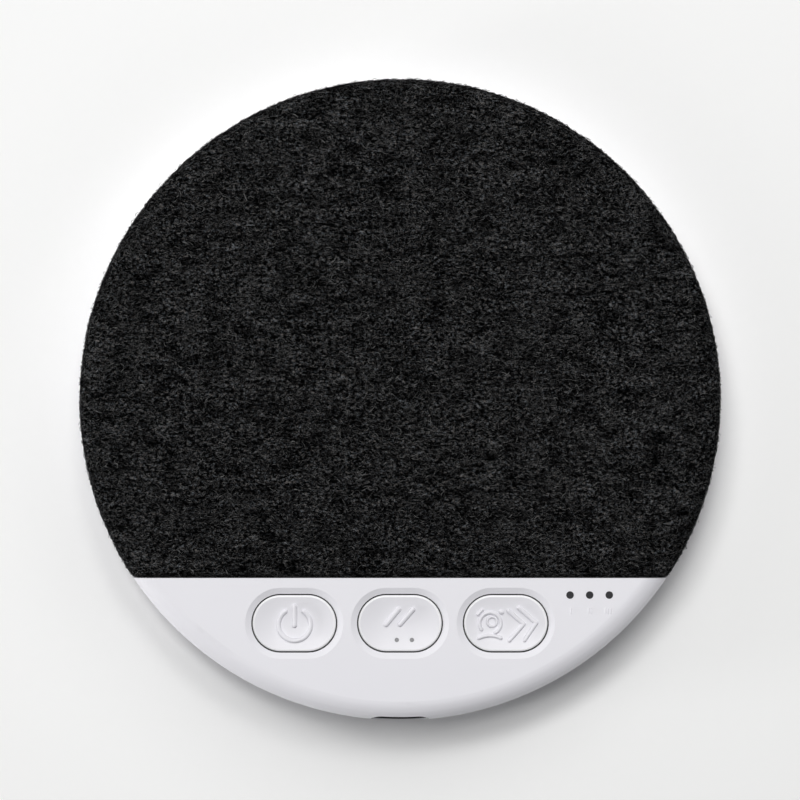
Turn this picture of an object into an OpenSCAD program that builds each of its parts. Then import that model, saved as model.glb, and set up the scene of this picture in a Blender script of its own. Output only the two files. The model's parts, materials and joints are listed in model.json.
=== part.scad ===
// Round pillow speaker: a flat puck with a cloth-covered top, a white deck with three keys,
// three indicator lights and a charging socket in the rim.
// X points right along the deck, Y points from the deck to the cloth, Z points up.
// The origin is on the table, under the middle of the puck.

/* [Body] */
// Diameter of the whole speaker
body_d = 100; // [98:1:110]
// Height of the white deck above the table
deck_z = 13; // [13:0.2:16]
// Height of the seam between base and upper case
seam_z = 6.5; // [6:0.1:6.8]
// Thickness of the outer side wall
wall = 1.8; // [1.6:0.1:2.2]
// Thickness of the base's floor
floor_t = 1.6; // [1.4:0.1:2]
// Thickness of the deck round the keys
deck_t = 1.4; // [1.2:0.1:1.5]
// Radius of the rounded rim, above and below
rim_r = 3; // [2.6:0.1:3.2]

/* [Cloth top] */
// Thickness of the felted cloth
cloth_t = 1; // [0.8:0.1:1.2]
// Height of the flat middle of the cloth above the deck
cloth_rise = 1; // [0.8:0.1:1.4]
// Distance from the middle to the cloth's straight edge
cut_reach = 27.6; // [26:0.05:29]
// Radius of the cloth's rolled straight edge
roll_r = 1.4; // [1.3:0.1:1.8]
// Width over which the cloth eases down to the round rim
rim_ease_w = 7; // [5:0.5:10]
// Width over which the cloth eases down to the straight edge
cut_ease_w = 4; // [3:0.5:6]
// Thickness of the foam under the cloth
foam_t = 1.2; // [1:0.1:1.3]
// Thickness of the carrier plate under the foam
carrier_t = 1.2; // [1:0.1:1.3]
// Thickness of the carrier's skirt
skirt_t = 1.2; // [1:0.1:1.4]
// Diameter of each sound hole in the carrier
sound_hole_d = 1.8; // [1.2:0.1:2]
// Distance between neighbouring sound holes
sound_hole_pitch = 3; // [2.8:0.1:4]

/* [Keys] */
// Length of a key
key_l = 13; // [11:0.5:13.5]
// Width of a key
key_w = 8.75; // [8:0.25:9]
// Distance between neighbouring keys
key_pitch = 16.45; // [16.2:0.05:17]
// Distance from the cloth's straight edge to the middle of the keys
key_inset = 7.2; // [6.8:0.05:7.5]
// Depth of the dish in a key's top
key_dish = 0.4; // [0.2:0.05:0.5]
// Width of the bevel round a key
bevel_w = 0.95; // [0.6:0.05:1]
// Depth of the bevel round a key
bevel_h = 0.45; // [0.3:0.05:0.6]
// Stroke of a key
key_travel = 0.25; // [0.15:0.05:0.3]

/* [Lights] */
// Diameter of an indicator light
light_d = 1.15; // [1:0.05:1.4]
// Distance between neighbouring indicator lights
light_pitch = 3.05; // [2.8:0.05:3.4]
// Position of the middle light to the right of the middle
light_x = 29.5; // [29:0.1:30]
// Distance from the cloth's straight edge to the lights
light_inset = 2.8; // [2.5:0.05:3]

/* [Charging socket] */
// Outer width of the socket's metal shell
socket_w = 8.94; // [8.9:0.02:9.1]
// Outer height of the socket's metal shell
socket_h = 3.16; // [3.1:0.02:3.3]
// Sheet thickness of the socket's shell
socket_t = 0.3; // [0.2:0.05:0.4]
// Length of the socket's shell
socket_l = 7.35; // [6.5:0.05:7.6]
// Distance of the socket's mouth inside the rim
socket_inset = 0.8; // [0.6:0.1:1.2]

/* [Driver] */
// Diameter of the driver's mounting flange
driver_d = 40; // [36:0.5:40]
// Depth of the driver below the top of its flange
driver_h = 5.5; // [5.2:0.1:5.8]
// Outer diameter of the magnet cup
yoke_d = 18; // [17:0.5:20]
// Travel of the cone each way
cone_travel = 0.35; // [0.2:0.05:0.4]

/* [Battery] */
// Width of the battery cell
cell_w = 28; // [24:0.5:28]
// Length of the battery cell
cell_l = 40; // [34:0.5:40]
// Thickness of the battery cell
cell_t = 4.6; // [3:0.1:4.8]

/* [Fasteners and feet] */
// Shank diameter of the case screws
case_screw_d = 2.5; // [2:0.1:2.6]
// Shank length of the case screws
case_screw_l = 6.5; // [6:0.1:6.8]
// Shank diameter of the board screws
board_screw_d = 2; // [1.6:0.1:2.2]
// Shank diameter of the driver screws
driver_screw_d = 1.7; // [1.4:0.1:1.8]
// Diameter of a rubber foot
foot_d = 10; // [8:0.5:11]
// Height of the base above the table
foot_stand = 0.8; // [0.6:0.1:0.9]

/* [Fits] */
// Gap all round a key in its well
key_gap = 0.2; // [0.15:0.01:0.25]
// Gap between the cloth and the edge of the deck
cloth_gap = 0.15; // [0.1:0.05:0.3]
// Gap between parts that lie on each other
fit = 0.05; // [0.02:0.01:0.1]
// Gap between a part and the walls round it
slack = 0.2; // [0.15:0.05:0.3]

/* [Hidden] */
$fn = 96;
// Overshoot of a cutting tool past the face it cuts
over = 1;

// Facets of the wide shallow arcs, of the snap domes and of the small sound holes
wide_arc_fn = 180;
dome_fn = 360;
sound_hole_fn = 24;
// Rounding of the edges of small moulded parts and of chips
small_edge_r = 0.2;
chip_edge_r = 0.15;

// Heights, from the table up
base_z = foot_stand;
floor_z = base_z + floor_t;
deck_under = deck_z - deck_t;
top_z = deck_z + cloth_rise;
plate_top = top_z - cloth_t - fit - foam_t;
plate_under = plate_top - carrier_t;
plate_gap = 0.1;
baffle_t = 1.3;
baffle_top = plate_under - plate_gap;
baffle_under = baffle_top - baffle_t;

// Radii, from the rim inwards
body_r = body_d / 2;
shell_in_r = body_r - wall;
skirt_out_r = body_r - cloth_t - fit;
skirt_in_r = skirt_out_r - skirt_t;
inner_wall_t = 1.6;
inner_wall_r = skirt_in_r - slack;
inner_in_r = inner_wall_r - inner_wall_t;

// The ledge of the upper case that carries the cloth's hem
ledge_h = 1;
ledge_z = seam_z + ledge_h;
hem_gap = 0.2;
hem_z = ledge_z + hem_gap;

// The straight edge between cloth and deck
deck_edge = cut_reach + cloth_gap;
deck_wall_t = 1.4;
deck_wall_in = deck_edge + deck_wall_t;

// The padded edge of the cloth, and the tray for the foam in the carrier under it
rim_ease_r = 20;
cut_ease_r = 12;
tray_margin = 1;
tray_r = skirt_in_r - tray_margin;
tray_reach = cut_reach - cloth_t - fit - skirt_t;

// The spigot of the upper case inside the base
spigot_t = 1;
spigot_h = 1.2;
spigot_gap = 0.1;
seam_chamfer = 0.3;

// The board hangs under the deck, by the height of the socket that stands on it
board_t = 1;
socket_head = 0.24;
board_top = deck_under - socket_head - socket_h;
board_under = board_top - board_t;
board_edge_gap = 1.3;
board_inner_gap = 0.4;
board_deck_r = shell_in_r - board_edge_gap;
board_inner_r = inner_in_r - board_inner_gap;

// Socket
socket_z = board_top + socket_h / 2;
socket_mouth_y = -(body_r - socket_inset);
socket_back_y = socket_mouth_y + socket_l;
port_gap = 0.3;

// Keys: power on the left, play in the middle, timer on the right
key_y = -(cut_reach + key_inset);
key_x = [-key_pitch, 0, key_pitch];
key_half = key_w / 2;
key_straight = key_l - key_w;
key_drop = 0.3;
key_top = deck_z - key_drop;
key_edge_r = 0.3;
key_wall = 1.2;
key_skin = 0.8;
key_ceiling = key_top - key_dish - key_skin;
key_flange_reach = 0.5;
key_flange_t = 0.7;
key_flange_gap = 0.1;
key_flange_z = deck_under - key_flange_gap - key_flange_t;
key_nib_d = 2.4;
nib_gap = 0.02;

// Push switch under each key; a pressed dome keeps a little of its height
switch_w = 4.5;
switch_h = 1.6;
switch_edge_r = 0.3;
switch_floor = 0.35;
switch_lid = 0.3;
plunger_d = 2.2;
plunger_collar_d = 2.9;
plunger_collar_t = 0.3;
plunger_h = 2;
dome_d = 3.2;
dome_t = 0.06;
dome_left = 0.1;
dome_rise = dome_left + key_travel;
plunger_foot = board_top + switch_floor + dome_t + dome_rise;

// Lights
light_y = -(cut_reach + light_inset);
light_gap = 0.02;
shield_bore_d = 1.4;
shield_w = 1.7;
shield_margin = 1.35;
shield_edge_r = 0.4;
led_size = [1, 0.6, 0.5];
led_gap = 0.25;
guide_d = 0.65;
guide_spots = [[-0.5, -2.6], [1.85, -2.6]];

// Case screws, each [x, y, height of the seat of its head]
head_d = 4.6;
head_h = 1.5;
head_gap = 0.2;
seat_h = 2.2;
seat_low = base_z + seat_h;
seat_depth = 3;
seat_high = board_under - seat_depth;
rear_screw_inset = 8.5;
side_screw_inset = 8.7;
side_screw_angle = 17;
side_screw_r = body_r - side_screw_inset;
port_screw_inset = 5.7;
port_screw_x = key_pitch / 2;
port_screw_y = -sqrt(pow(body_r - port_screw_inset, 2) - port_screw_x * port_screw_x);
rear_screw = [0, body_r - rear_screw_inset, seat_low];
left_screw = [-side_screw_r * cos(side_screw_angle), -side_screw_r * sin(side_screw_angle), seat_low];
right_screw = [-left_screw.x, left_screw.y, seat_low];
port_screws = [[-port_screw_x, port_screw_y, seat_high], [port_screw_x, port_screw_y, seat_high]];
plain_screws = [rear_screw, left_screw, right_screw];
boss_d = 6;
port_boss_d = 5;
post_d = 7;
boss_stand = 4.2;
boss_face = base_z + boss_stand;
post_gap = 0.1;
screw_gap = 0.03;

// Board screws, beside the outer keys and half way between the lights' shield and the rim
board_screw_l = 3.6;
board_head_d = 3.6;
board_head_h = 1.1;
board_boss_d = 4.4;
board_boss_gap = 1.65;
board_screw_x = key_pitch + key_l / 2 + key_gap + key_flange_reach + board_boss_gap + board_boss_d / 2;
board_screw_y = (light_y - shield_w / 2 - sqrt(shell_in_r * shell_in_r - board_screw_x * board_screw_x)) / 2;
board_screw_spots = [[-board_screw_x, board_screw_y], [board_screw_x, board_screw_y]];

// Driver, hanging under the baffle
driver_inset = 28;
driver_x = -(body_r - driver_inset);
driver_y = 8;
driver_r = driver_d / 2;
gasket_t = 0.3;
surround_t = 0.3;
gasket_top = baffle_under - fit;
landing_top = gasket_top - gasket_t;
flange_top = landing_top - surround_t;
flange_t = 0.6;
flange_under = flange_top - flange_t;
landing_w = 1.8;
sound_r = driver_r - landing_w;
basket_t = 0.6;
basket_flange_w = 1.6;
basket_wall_r = driver_r - basket_flange_w;
basket_drop = 0.55;
basket_seat_w = 1;
basket_grip = 1.1;
window_count = 6;
window_w = 5;
window_margin = 1.6;
yoke_z = flange_top - driver_h;
yoke_h = 3.2;
yoke_t = 1.2;
yoke_floor = 0.8;
coil_gap = 0.3;
coil_t = 0.5;
magnet_h = 1.6;
magnet_step = 0.1;
coil_out_r = yoke_d / 2 - yoke_t - coil_gap;
coil_in_r = coil_out_r - coil_t;
pole_r = coil_in_r - coil_gap;
coil_floor_gap = 0.45;
coil_z = yoke_z + yoke_floor + cone_travel + coil_floor_gap;
cone_t = 0.3;
cone_h = 1.2;
cone_low = flange_top - cone_h;
cap_h = 1;
cap_margin = 0.2;
roll_out_r = 1.1;
roll_mean_r = sound_r - roll_out_r;
cone_rim_w = 1;
cone_rim_r = roll_mean_r - roll_out_r + surround_t;
driver_screw_angles = [75, 195, 315];
driver_screw_gap = 1.6;
driver_screw_r = driver_r + driver_screw_gap;
driver_boss_d = 3.6;
driver_head_d = 4.6;
driver_head_h = 0.9;
driver_screw_l = 2;
ring_gap = 0.25;
ring_t = 1.2;
ring_h = 1;

// The driver's terminal
terminal_angle = -70;
terminal_size = [3.4, 7, 0.7];
terminal_shift = 0.5;
terminal_r = driver_r + terminal_shift;
terminal_z = flange_under - terminal_size.z;

// Battery, lying on the floor on its tape
cell_inset = 30;
cell_x = body_r - cell_inset;
cell_y = 8;
cell_edge_r = 1.2;
tape_t = 0.3;
tape_margin = 3;
tape_edge_r = 1;
cell_z = floor_z + tape_t;
guard_margin = 2;
guard_w = 3;
guard_t = 2.4;
guard_gap = 0.2;
guard_y = cell_y - cell_l / 2 - guard_gap - guard_w / 2;
fence_t = 1;
fence_h = 2;
fence_gap = 0.3;
fence_corner = 7;

// The battery's plug and socket at the board's inner edge, in line with the middle of the cell
plug_size = [4.2, 3, 2.4];
socket_size = [5.2, 4, 3.2];
plug_run = 5.8;
plug_x = cell_x;
plug_pitch = 1.25;
plug_back_y = guard_y - guard_w / 2 - plug_run;
plug_y = plug_back_y - plug_size.y / 2;
plug_depth = 2;
board_inner_reach = -plug_back_y;

// Wires from the driver to the board
wire_d = 1;
wire_pitch = 2;
wire_sides = 8;
wire_rings = 12;
wire_drop = 3.4;
wire_seat = 0.9;
speaker_pad_inset = 2.5;
speaker_pad_y = plug_back_y - speaker_pad_inset;

// Chips under the board, in a rear row and a front row
rear_row_gap = 4.3;
front_row_gap = 2.2;
rear_row_y = key_y + rear_row_gap;
front_row_y = key_y - front_row_gap;
radio_size = [6, 6, 0.85];
radio_x = -6;
memory_size = [4, 5, 1.4];
amplifier_size = [3, 3, 1];
amplifier_x = -14;
charger_size = [2.9, 1.6, 1.1];
charger_x = 6;
crystal_size = [3.2, 2.5, 0.8];
inductor_size = [4, 4, 2];
inductor_x = 14;
capacitor_size = [1.6, 0.8, 0.8];
capacitor_x = -24;
capacitor_pitch = [2.4, 2];

// Hooks that hold the carrier in the baffle
hook_w = 5;
hook_t = 1;
hook_barb = 0.5;
hook_gap = 0.15;
hook_tip = 1.2;
rear_hook_inset = 2.4;
front_hook_inset = 9.3;
rear_hook_angles = [45, 135];
front_hook_angles = [206, 334];

// Feet
foot_inset = 12;
foot_r = body_r - foot_inset;
foot_angles = [45, 135, 225, 315];
foot_recess = 0.4;
foot_gap = 0.1;
foot_edge = 0.2;

// Outlines

// A circle of radius r from which all beyond a straight line at y = -reach is cut away
module cut_disc(r, reach) {
    intersection() {
        circle(r);
        translate([-r, -reach]) square([2 * r, reach + r]);
    }
}

// What the line at y = -reach cuts away from a circle of radius r
module deck_segment(r, reach) {
    intersection() {
        circle(r);
        translate([-r, -r]) square([2 * r, r - reach]);
    }
}

// A slot outline, w long and h wide, with round ends
module slot_outline(w, h) {
    for (side = [-1, 1])
        translate([side * (w - h) / 2, 0]) circle(h / 2);
    square([w - h, h], center = true);
}

// Cross-section of a padded edge: level, then easing down, then rounding over into a wall
module padded_edge(reach, top, bottom, ease_w, ease_r, round_r) {
    tilt = asin((ease_w - round_r) / (ease_r - round_r));
    level_end = reach - ease_w;
    round_z = top - ease_r + (ease_r - round_r) * cos(tilt);
    join_x = level_end + ease_r * sin(tilt);
    translate([0, bottom]) square([level_end, top - bottom]);
    intersection() {
        translate([level_end, top - ease_r]) circle(ease_r, $fn = wide_arc_fn);
        translate([level_end, bottom]) square([join_x - level_end, top - bottom]);
    }
    intersection() {
        translate([reach - round_r, round_z]) circle(round_r);
        translate([0, bottom]) square([reach, top - bottom]);
    }
    translate([0, bottom]) square([reach, round_z - bottom]);
}

// Solids

// The padded top, shrunk by inset all over, down to the height bottom
module padded_top(inset, bottom) {
    top = top_z - inset;
    intersection() {
        rotate_extrude()
            padded_edge(body_r - inset, top, bottom, rim_ease_w - inset, rim_ease_r - inset, rim_r - inset);
        rotate([90, 0, 90])
            linear_extrude(body_d, center = true) {
                mirror([1, 0])
                    padded_edge(cut_reach - inset, top, bottom,
                        cut_ease_w - inset, cut_ease_r - inset, roll_r - inset);
                translate([0, bottom]) square([body_r, top - bottom]);
            }
    }
}

// A profile carried round a slot outline whose straight sides are len long
module slot_solid(len) {
    for (side = [-1, 1])
        translate([side * len / 2, 0, 0])
            rotate([0, 0, -side * 90])
                rotate_extrude(angle = 180) children();
    rotate([90, 0, 90])
        linear_extrude(len, center = true) {
            children();
            mirror([1, 0]) children();
        }
}

// A round puck of radius r between two heights, with its upper or lower rim rounded
module puck(r, z_low, z_high, round_r, round_top) {
    round_z = round_top ? z_high - round_r : z_low + round_r;
    wall_low = round_top ? z_low : round_z;
    wall_high = round_top ? round_z : z_high;
    rotate_extrude() {
        translate([0, wall_low]) square([r, wall_high - wall_low]);
        translate([0, z_low]) square([r - round_r, z_high - z_low]);
        intersection() {
            translate([r - round_r, round_z]) circle(round_r);
            translate([0, z_low]) square([r, z_high - z_low]);
        }
    }
}

// A block with its four upright edges rounded
module rounded_block(size, r) {
    linear_extrude(size.z) {
        square([size.x - 2 * r, size.y], center = true);
        square([size.x, size.y - 2 * r], center = true);
        for (x = [-1, 1], y = [-1, 1])
            translate([x * (size.x / 2 - r), y * (size.y / 2 - r)]) circle(r);
    }
}

// A pan-head screw with its head below z = 0 and its shank above, and a cross in the head
module screw(shank_d, shank_l, pan_d, pan_h) {
    cross_w = pan_d * 0.14;
    cross_l = pan_d * 0.56;
    tip_h = shank_d * 0.3;
    edge = pan_h * 0.3;
    difference() {
        rotate_extrude()
            polygon([
                [0, -pan_h], [pan_d / 2 - edge, -pan_h], [pan_d / 2, -pan_h + edge], [pan_d / 2, 0],
                [shank_d / 2, 0], [shank_d / 2, shank_l - tip_h], [shank_d / 4, shank_l], [0, shank_l]
            ]);
        for (turn = [0, 90])
            rotate([0, 0, turn])
                translate([-cross_l / 2, -cross_w / 2, -pan_h - over])
                    cube([cross_l, cross_w, over + pan_h / 2]);
    }
}

// Unit vector
function unit(v) = v / norm(v);

// Point at t on the curve that four guide points give
function curve_point(p, t) =
    pow(1 - t, 3) * p[0] + 3 * pow(1 - t, 2) * t * p[1] + 3 * (1 - t) * t * t * p[2] + pow(t, 3) * p[3];

// Direction of that curve at t
function curve_way(p, t) =
    unit(pow(1 - t, 2) * (p[1] - p[0]) + 2 * (1 - t) * t * (p[2] - p[1]) + t * t * (p[3] - p[2]));

// A wire along the curve that four guide points give
module wire(p) {
    rings = [
        for (i = [0 : wire_rings])
            let (
                t = i / wire_rings,
                way = curve_way(p, t),
                side = unit([1, 0, 0] - way.x * way),
                up = cross(way, side)
            )
            for (k = [0 : wire_sides - 1])
                curve_point(p, t) + wire_d / 2
                    * (cos(k * 360 / wire_sides) * side + sin(k * 360 / wire_sides) * up)
    ];
    last = wire_rings * wire_sides;
    polyhedron(
        points = rings,
        faces = [
            [for (k = [0 : wire_sides - 1]) k],
            for (i = [0 : wire_rings - 1], k = [0 : wire_sides - 1])
                let (a = i * wire_sides + k, b = i * wire_sides + (k + 1) % wire_sides)
                    each [[a, a + wire_sides, b], [b, a + wire_sides, b + wire_sides]],
            [for (k = [wire_sides - 1 : -1 : 0]) last + k]
        ]
    );
}

// Casing

module case_post(spot) {
    top = spot.z == seat_high ? board_under - fit : boss_face - post_gap;
    translate([spot.x, spot.y, base_z]) cylinder(d = post_d, h = top - base_z);
}

module case_screw_hole(spot) {
    translate([spot.x, spot.y, base_z - over]) {
        cylinder(d = head_d + 2 * head_gap, h = spot.z - base_z + over);
        cylinder(d = case_screw_d + 2 * slack, h = deck_z);
    }
}

module battery_fence() {
    pack_l = cell_l + guard_gap + guard_w;
    inner = [cell_w + 2 * fence_gap, pack_l + 2 * fence_gap];
    outer = [inner.x + 2 * fence_t, inner.y + 2 * fence_t];
    translate([cell_x, cell_y + cell_l / 2 - pack_l / 2, floor_z - fit])
        linear_extrude(fence_h + fit)
            difference() {
                square(outer, center = true);
                square(inner, center = true);
                square([outer.x + over, inner.y - 2 * fence_corner], center = true);
                square([inner.x - 2 * fence_corner, outer.y + over], center = true);
            }
}

module base_shell() {
    cradle_in = yoke_d / 2 + slack;
    cradle_out = cradle_in + fence_t;
    color("whitesmoke")
        difference() {
            union() {
                difference() {
                    puck(body_r, base_z, seam_z, rim_r, false);
                    puck(shell_in_r, floor_z, seam_z + over, rim_r - wall, false);
                    rotate_extrude()
                        polygon([
                            [body_r - seam_chamfer, seam_z], [body_r + over, seam_z + seam_chamfer + over],
                            [body_r + over, seam_z - seam_chamfer - over], [body_r, seam_z - seam_chamfer]
                        ]);
                }
                for (spot = concat(plain_screws, port_screws)) case_post(spot);
                battery_fence();
                translate([driver_x, driver_y, floor_z - fit])
                    difference() {
                        cylinder(r = cradle_out, h = fence_h + fit);
                        translate([0, 0, -over]) cylinder(r = cradle_in, h = fence_h + 2 * over);
                    }
            }
            for (spot = concat(plain_screws, port_screws)) case_screw_hole(spot);
            for (turn = foot_angles)
                rotate([0, 0, turn])
                    translate([foot_r, 0, base_z - over])
                        cylinder(d = foot_d + 2 * foot_gap, h = over + foot_recess);
        }
}

// The well of one key: a bevel down to a straight-sided hole
module key_well() {
    hole_r = key_half + key_gap;
    slot_solid(key_straight)
        polygon([
            [0, deck_under - over], [hole_r, deck_under - over], [hole_r, deck_z - bevel_h],
            [hole_r + bevel_w, deck_z], [hole_r + bevel_w, deck_z + over], [0, deck_z + over]
        ]);
}

// The hooks' profile, cut through the middle of a hook, that grips the baffle's underside
module hook_profile(grow) {
    barb_z = baffle_under - plate_gap;
    polygon([
        [-grow, plate_under + fit], [hook_t + grow, plate_under + fit], [hook_t + grow, barb_z],
        [hook_t + hook_barb + grow, barb_z], [hook_t + grow, barb_z - hook_tip], [-grow, barb_z - hook_tip]
    ]);
}

module at_hooks() {
    for (turn = rear_hook_angles)
        rotate([0, 0, turn]) translate([inner_in_r - rear_hook_inset, 0, 0]) children();
    for (turn = front_hook_angles)
        rotate([0, 0, turn]) translate([inner_in_r - front_hook_inset, 0, 0]) children();
}

module hook_slots() {
    at_hooks()
        translate([-hook_gap, -hook_w / 2 - hook_gap, baffle_under - over])
            cube([hook_t + hook_barb + 2 * hook_gap, hook_w + 2 * hook_gap, baffle_t + 2 * over]);
}

module at_driver() {
    translate([driver_x, driver_y, 0]) children();
}

module at_driver_screws() {
    at_driver()
        for (turn = driver_screw_angles)
            rotate([0, 0, turn]) translate([driver_screw_r, 0, 0]) children();
}

// The ring and the three bosses that hold the driver under the baffle
module driver_seat() {
    clear_r = driver_r + ring_gap;
    difference() {
        union() {
            at_driver()
                translate([0, 0, baffle_under - ring_h]) cylinder(r = clear_r + ring_t, h = ring_h + fit);
            at_driver_screws()
                translate([0, 0, flange_under])
                    cylinder(d = driver_boss_d, h = baffle_under + fit - flange_under);
        }
        at_driver() translate([0, 0, baffle_under - ring_h - over]) cylinder(r = clear_r, h = ring_h + over);
    }
}

module upper_case() {
    inner_round = rim_r - wall;
    color("whitesmoke")
        difference() {
            union() {
                difference() {
                    union() {
                        intersection() {
                            puck(body_r, seam_z, deck_z, rim_r, true);
                            translate([0, 0, seam_z])
                                linear_extrude(deck_z) deck_segment(body_r + over, deck_edge);
                        }
                        translate([0, 0, seam_z]) cylinder(r = body_r, h = ledge_h);
                        translate([0, 0, seam_z])
                            linear_extrude(baffle_top - seam_z) cut_disc(inner_wall_r, deck_edge + fit);
                    }
                    translate([0, 0, seam_z - over])
                        linear_extrude(baffle_under - seam_z + over) cut_disc(inner_in_r, deck_wall_in + fit);
                    intersection() {
                        puck(shell_in_r, seam_z - over, deck_under, inner_round, true);
                        translate([0, 0, seam_z - 2 * over])
                            linear_extrude(deck_z) deck_segment(body_r + over, deck_wall_in);
                    }
                }
                intersection() {
                    translate([0, 0, seam_z - spigot_h])
                        difference() {
                            cylinder(r = shell_in_r - spigot_gap, h = spigot_h + fit);
                            translate([0, 0, -over])
                                cylinder(r = shell_in_r - spigot_gap - spigot_t, h = spigot_h + 2 * over);
                        }
                    translate([0, 0, seam_z - spigot_h - over])
                        linear_extrude(spigot_h + 2 * over) cut_disc(body_r, cut_reach - over);
                }
                for (spot = plain_screws)
                    translate([spot.x, spot.y, boss_face])
                        cylinder(d = boss_d, h = baffle_under + fit - boss_face);
                for (spot = port_screws)
                    translate([spot.x, spot.y, board_top + fit])
                        cylinder(d = port_boss_d, h = deck_under - board_top);
                for (spot = board_screw_spots)
                    translate([spot.x, spot.y, board_top + fit])
                        cylinder(d = board_boss_d, h = deck_under - board_top);
                driver_seat();
            }
            for (spot = concat(plain_screws, port_screws))
                translate([spot.x, spot.y, spot.z])
                    cylinder(d = case_screw_d + 2 * screw_gap, h = case_screw_l + slack);
            for (spot = board_screw_spots)
                translate([spot.x, spot.y, board_under])
                    cylinder(d = board_screw_d + 2 * screw_gap, h = board_screw_l + slack);
            at_driver_screws()
                translate([0, 0, flange_under - over])
                    cylinder(d = driver_screw_d + 2 * screw_gap, h = driver_screw_l + over + slack);
            at_driver() translate([0, 0, baffle_under - over]) cylinder(r = sound_r, h = baffle_t + 2 * over);
            hook_slots();
            for (x = key_x) translate([x, key_y, 0]) key_well();
            for (i = [-1 : 1])
                translate([light_x + i * light_pitch, light_y, deck_under - over])
                    cylinder(d = light_d + 2 * light_gap, h = deck_t + 2 * over);
            translate([0, -shell_in_r + over, socket_z])
                rotate([90, 0, 0])
                    linear_extrude(wall + 2 * over)
                        slot_outline(socket_w + 2 * port_gap, socket_h + 2 * port_gap);
        }
}

module cloth_cover() {
    flap_z = baffle_top + plate_gap;
    color([0.14, 0.14, 0.15])
        difference() {
            padded_top(0, hem_z);
            padded_top(cloth_t, flap_z);
            translate([0, 0, hem_z - over]) cylinder(r = body_r - cloth_t, h = flap_z - hem_z + over);
        }
}

module foam_pad() {
    color([0.25, 0.25, 0.27])
        intersection() {
            padded_top(cloth_t + fit, plate_top + fit);
            translate([0, 0, plate_top + fit])
                linear_extrude(foam_t + fit) cut_disc(tray_r - slack, tray_reach - slack);
        }
}

// Sound holes in a triangular pattern, as many as fit inside the driver's cone
module sound_holes() {
    field_r = sound_r - sound_hole_d;
    rows = ceil(field_r / (sound_hole_pitch * sqrt(3) / 2));
    columns = ceil(field_r / sound_hole_pitch);
    at_driver()
        for (row = [-rows : rows], column = [-columns : columns]) {
            x = (column + (row % 2 == 0 ? 0 : 0.5)) * sound_hole_pitch;
            y = row * sound_hole_pitch * sqrt(3) / 2;
            if (norm([x, y]) <= field_r)
                translate([x, y, plate_under - over])
                    cylinder(d = sound_hole_d, h = carrier_t + 2 * over, $fn = sound_hole_fn);
        }
}

module cloth_carrier() {
    color([0.2, 0.2, 0.21]) {
        difference() {
            padded_top(cloth_t + fit, hem_z + hem_gap);
            translate([0, 0, hem_z - over]) cylinder(r = skirt_in_r, h = plate_under - hem_z + over);
            translate([0, 0, plate_top]) linear_extrude(foam_t + cloth_rise) cut_disc(tray_r, tray_reach);
            sound_holes();
        }
        at_hooks()
            translate([0, hook_w / 2, 0]) rotate([90, 0, 0]) linear_extrude(hook_w) hook_profile(0);
    }
}

module rubber_feet() {
    foot_h = foot_stand + foot_recess - fit;
    color([0.13, 0.13, 0.14])
        for (turn = foot_angles)
            rotate([0, 0, turn])
                translate([foot_r, 0, 0])
                    rotate_extrude()
                        polygon([
                            [0, 0], [foot_d / 2 - foot_edge, 0], [foot_d / 2, foot_edge],
                            [foot_d / 2, foot_h], [0, foot_h]
                        ]);
}

// Fasteners

module case_screws() {
    color("silver")
        for (spot = concat(plain_screws, port_screws))
            translate(spot) screw(case_screw_d, case_screw_l, head_d, head_h);
}

module board_screws() {
    color("silver")
        for (spot = board_screw_spots)
            translate([spot.x, spot.y, board_under])
                screw(board_screw_d, board_screw_l, board_head_d, board_head_h);
}

module driver_screws() {
    color("silver")
        at_driver_screws()
            translate([0, 0, flange_under])
                screw(driver_screw_d, driver_screw_l, driver_head_d, driver_head_h);
}

// Keys and what they press

// Cross-section of a key from its middle line outwards, with its dish and its hollow
module key_profile() {
    dish_reach = key_half - key_edge_r;
    dish_r = (dish_reach * dish_reach + key_dish * key_dish) / (2 * key_dish);
    difference() {
        union() {
            translate([0, key_flange_z]) square([key_half, key_top - key_edge_r - key_flange_z]);
            translate([0, key_flange_z]) square([key_half - key_edge_r, key_top - key_flange_z]);
            intersection() {
                translate([key_half - key_edge_r, key_top - key_edge_r]) circle(key_edge_r);
                square([key_half, key_top]);
            }
            translate([0, key_flange_z]) square([key_half + key_gap + key_flange_reach, key_flange_t]);
        }
        translate([0, key_top - key_dish + dish_r]) circle(dish_r, $fn = wide_arc_fn);
        translate([0, key_flange_z - over]) square([key_half - key_wall, key_ceiling - key_flange_z + over]);
    }
}

module key(x) {
    nib_z = board_top + plunger_h + nib_gap;
    color([0.9, 0.9, 0.92])
        translate([x, key_y, 0]) {
            slot_solid(key_straight) key_profile();
            translate([0, 0, nib_z]) cylinder(d = key_nib_d, h = key_ceiling + fit - nib_z);
        }
}

module power_key() {
    key(key_x[0]);
}

// The room that a key leaves for the socket's shell when the keys sit close to it
module socket_room() {
    translate([0, socket_back_y + slack, socket_z])
        rotate([90, 0, 0])
            linear_extrude(socket_l)
                slot_outline(socket_w + 2 * (slack + key_travel), socket_h + 2 * (slack + key_travel));
}

module play_key() {
    difference() {
        key(key_x[1]);
        socket_room();
        for (spot = guide_spots)
            translate([key_x[1] + spot.x, key_y + spot.y, key_flange_z - over])
                cylinder(d = guide_d + 2 * light_gap, h = deck_z);
    }
}

module timer_key() {
    key(key_x[2]);
}

module play_light_guides() {
    guide_top = key_top - key_dish / 2;
    color([0.75, 0.78, 0.8])
        for (spot = guide_spots)
            translate([key_x[1] + spot.x, key_y + spot.y, key_ceiling])
                cylinder(d = guide_d, h = guide_top - key_ceiling);
}

module plunger(x) {
    color([0.15, 0.15, 0.16])
        translate([x, key_y, 0]) {
            translate([0, 0, plunger_foot]) cylinder(d = plunger_collar_d, h = plunger_collar_t);
            translate([0, 0, plunger_foot])
                cylinder(d = plunger_d, h = board_top + plunger_h - plunger_foot);
        }
}

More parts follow.
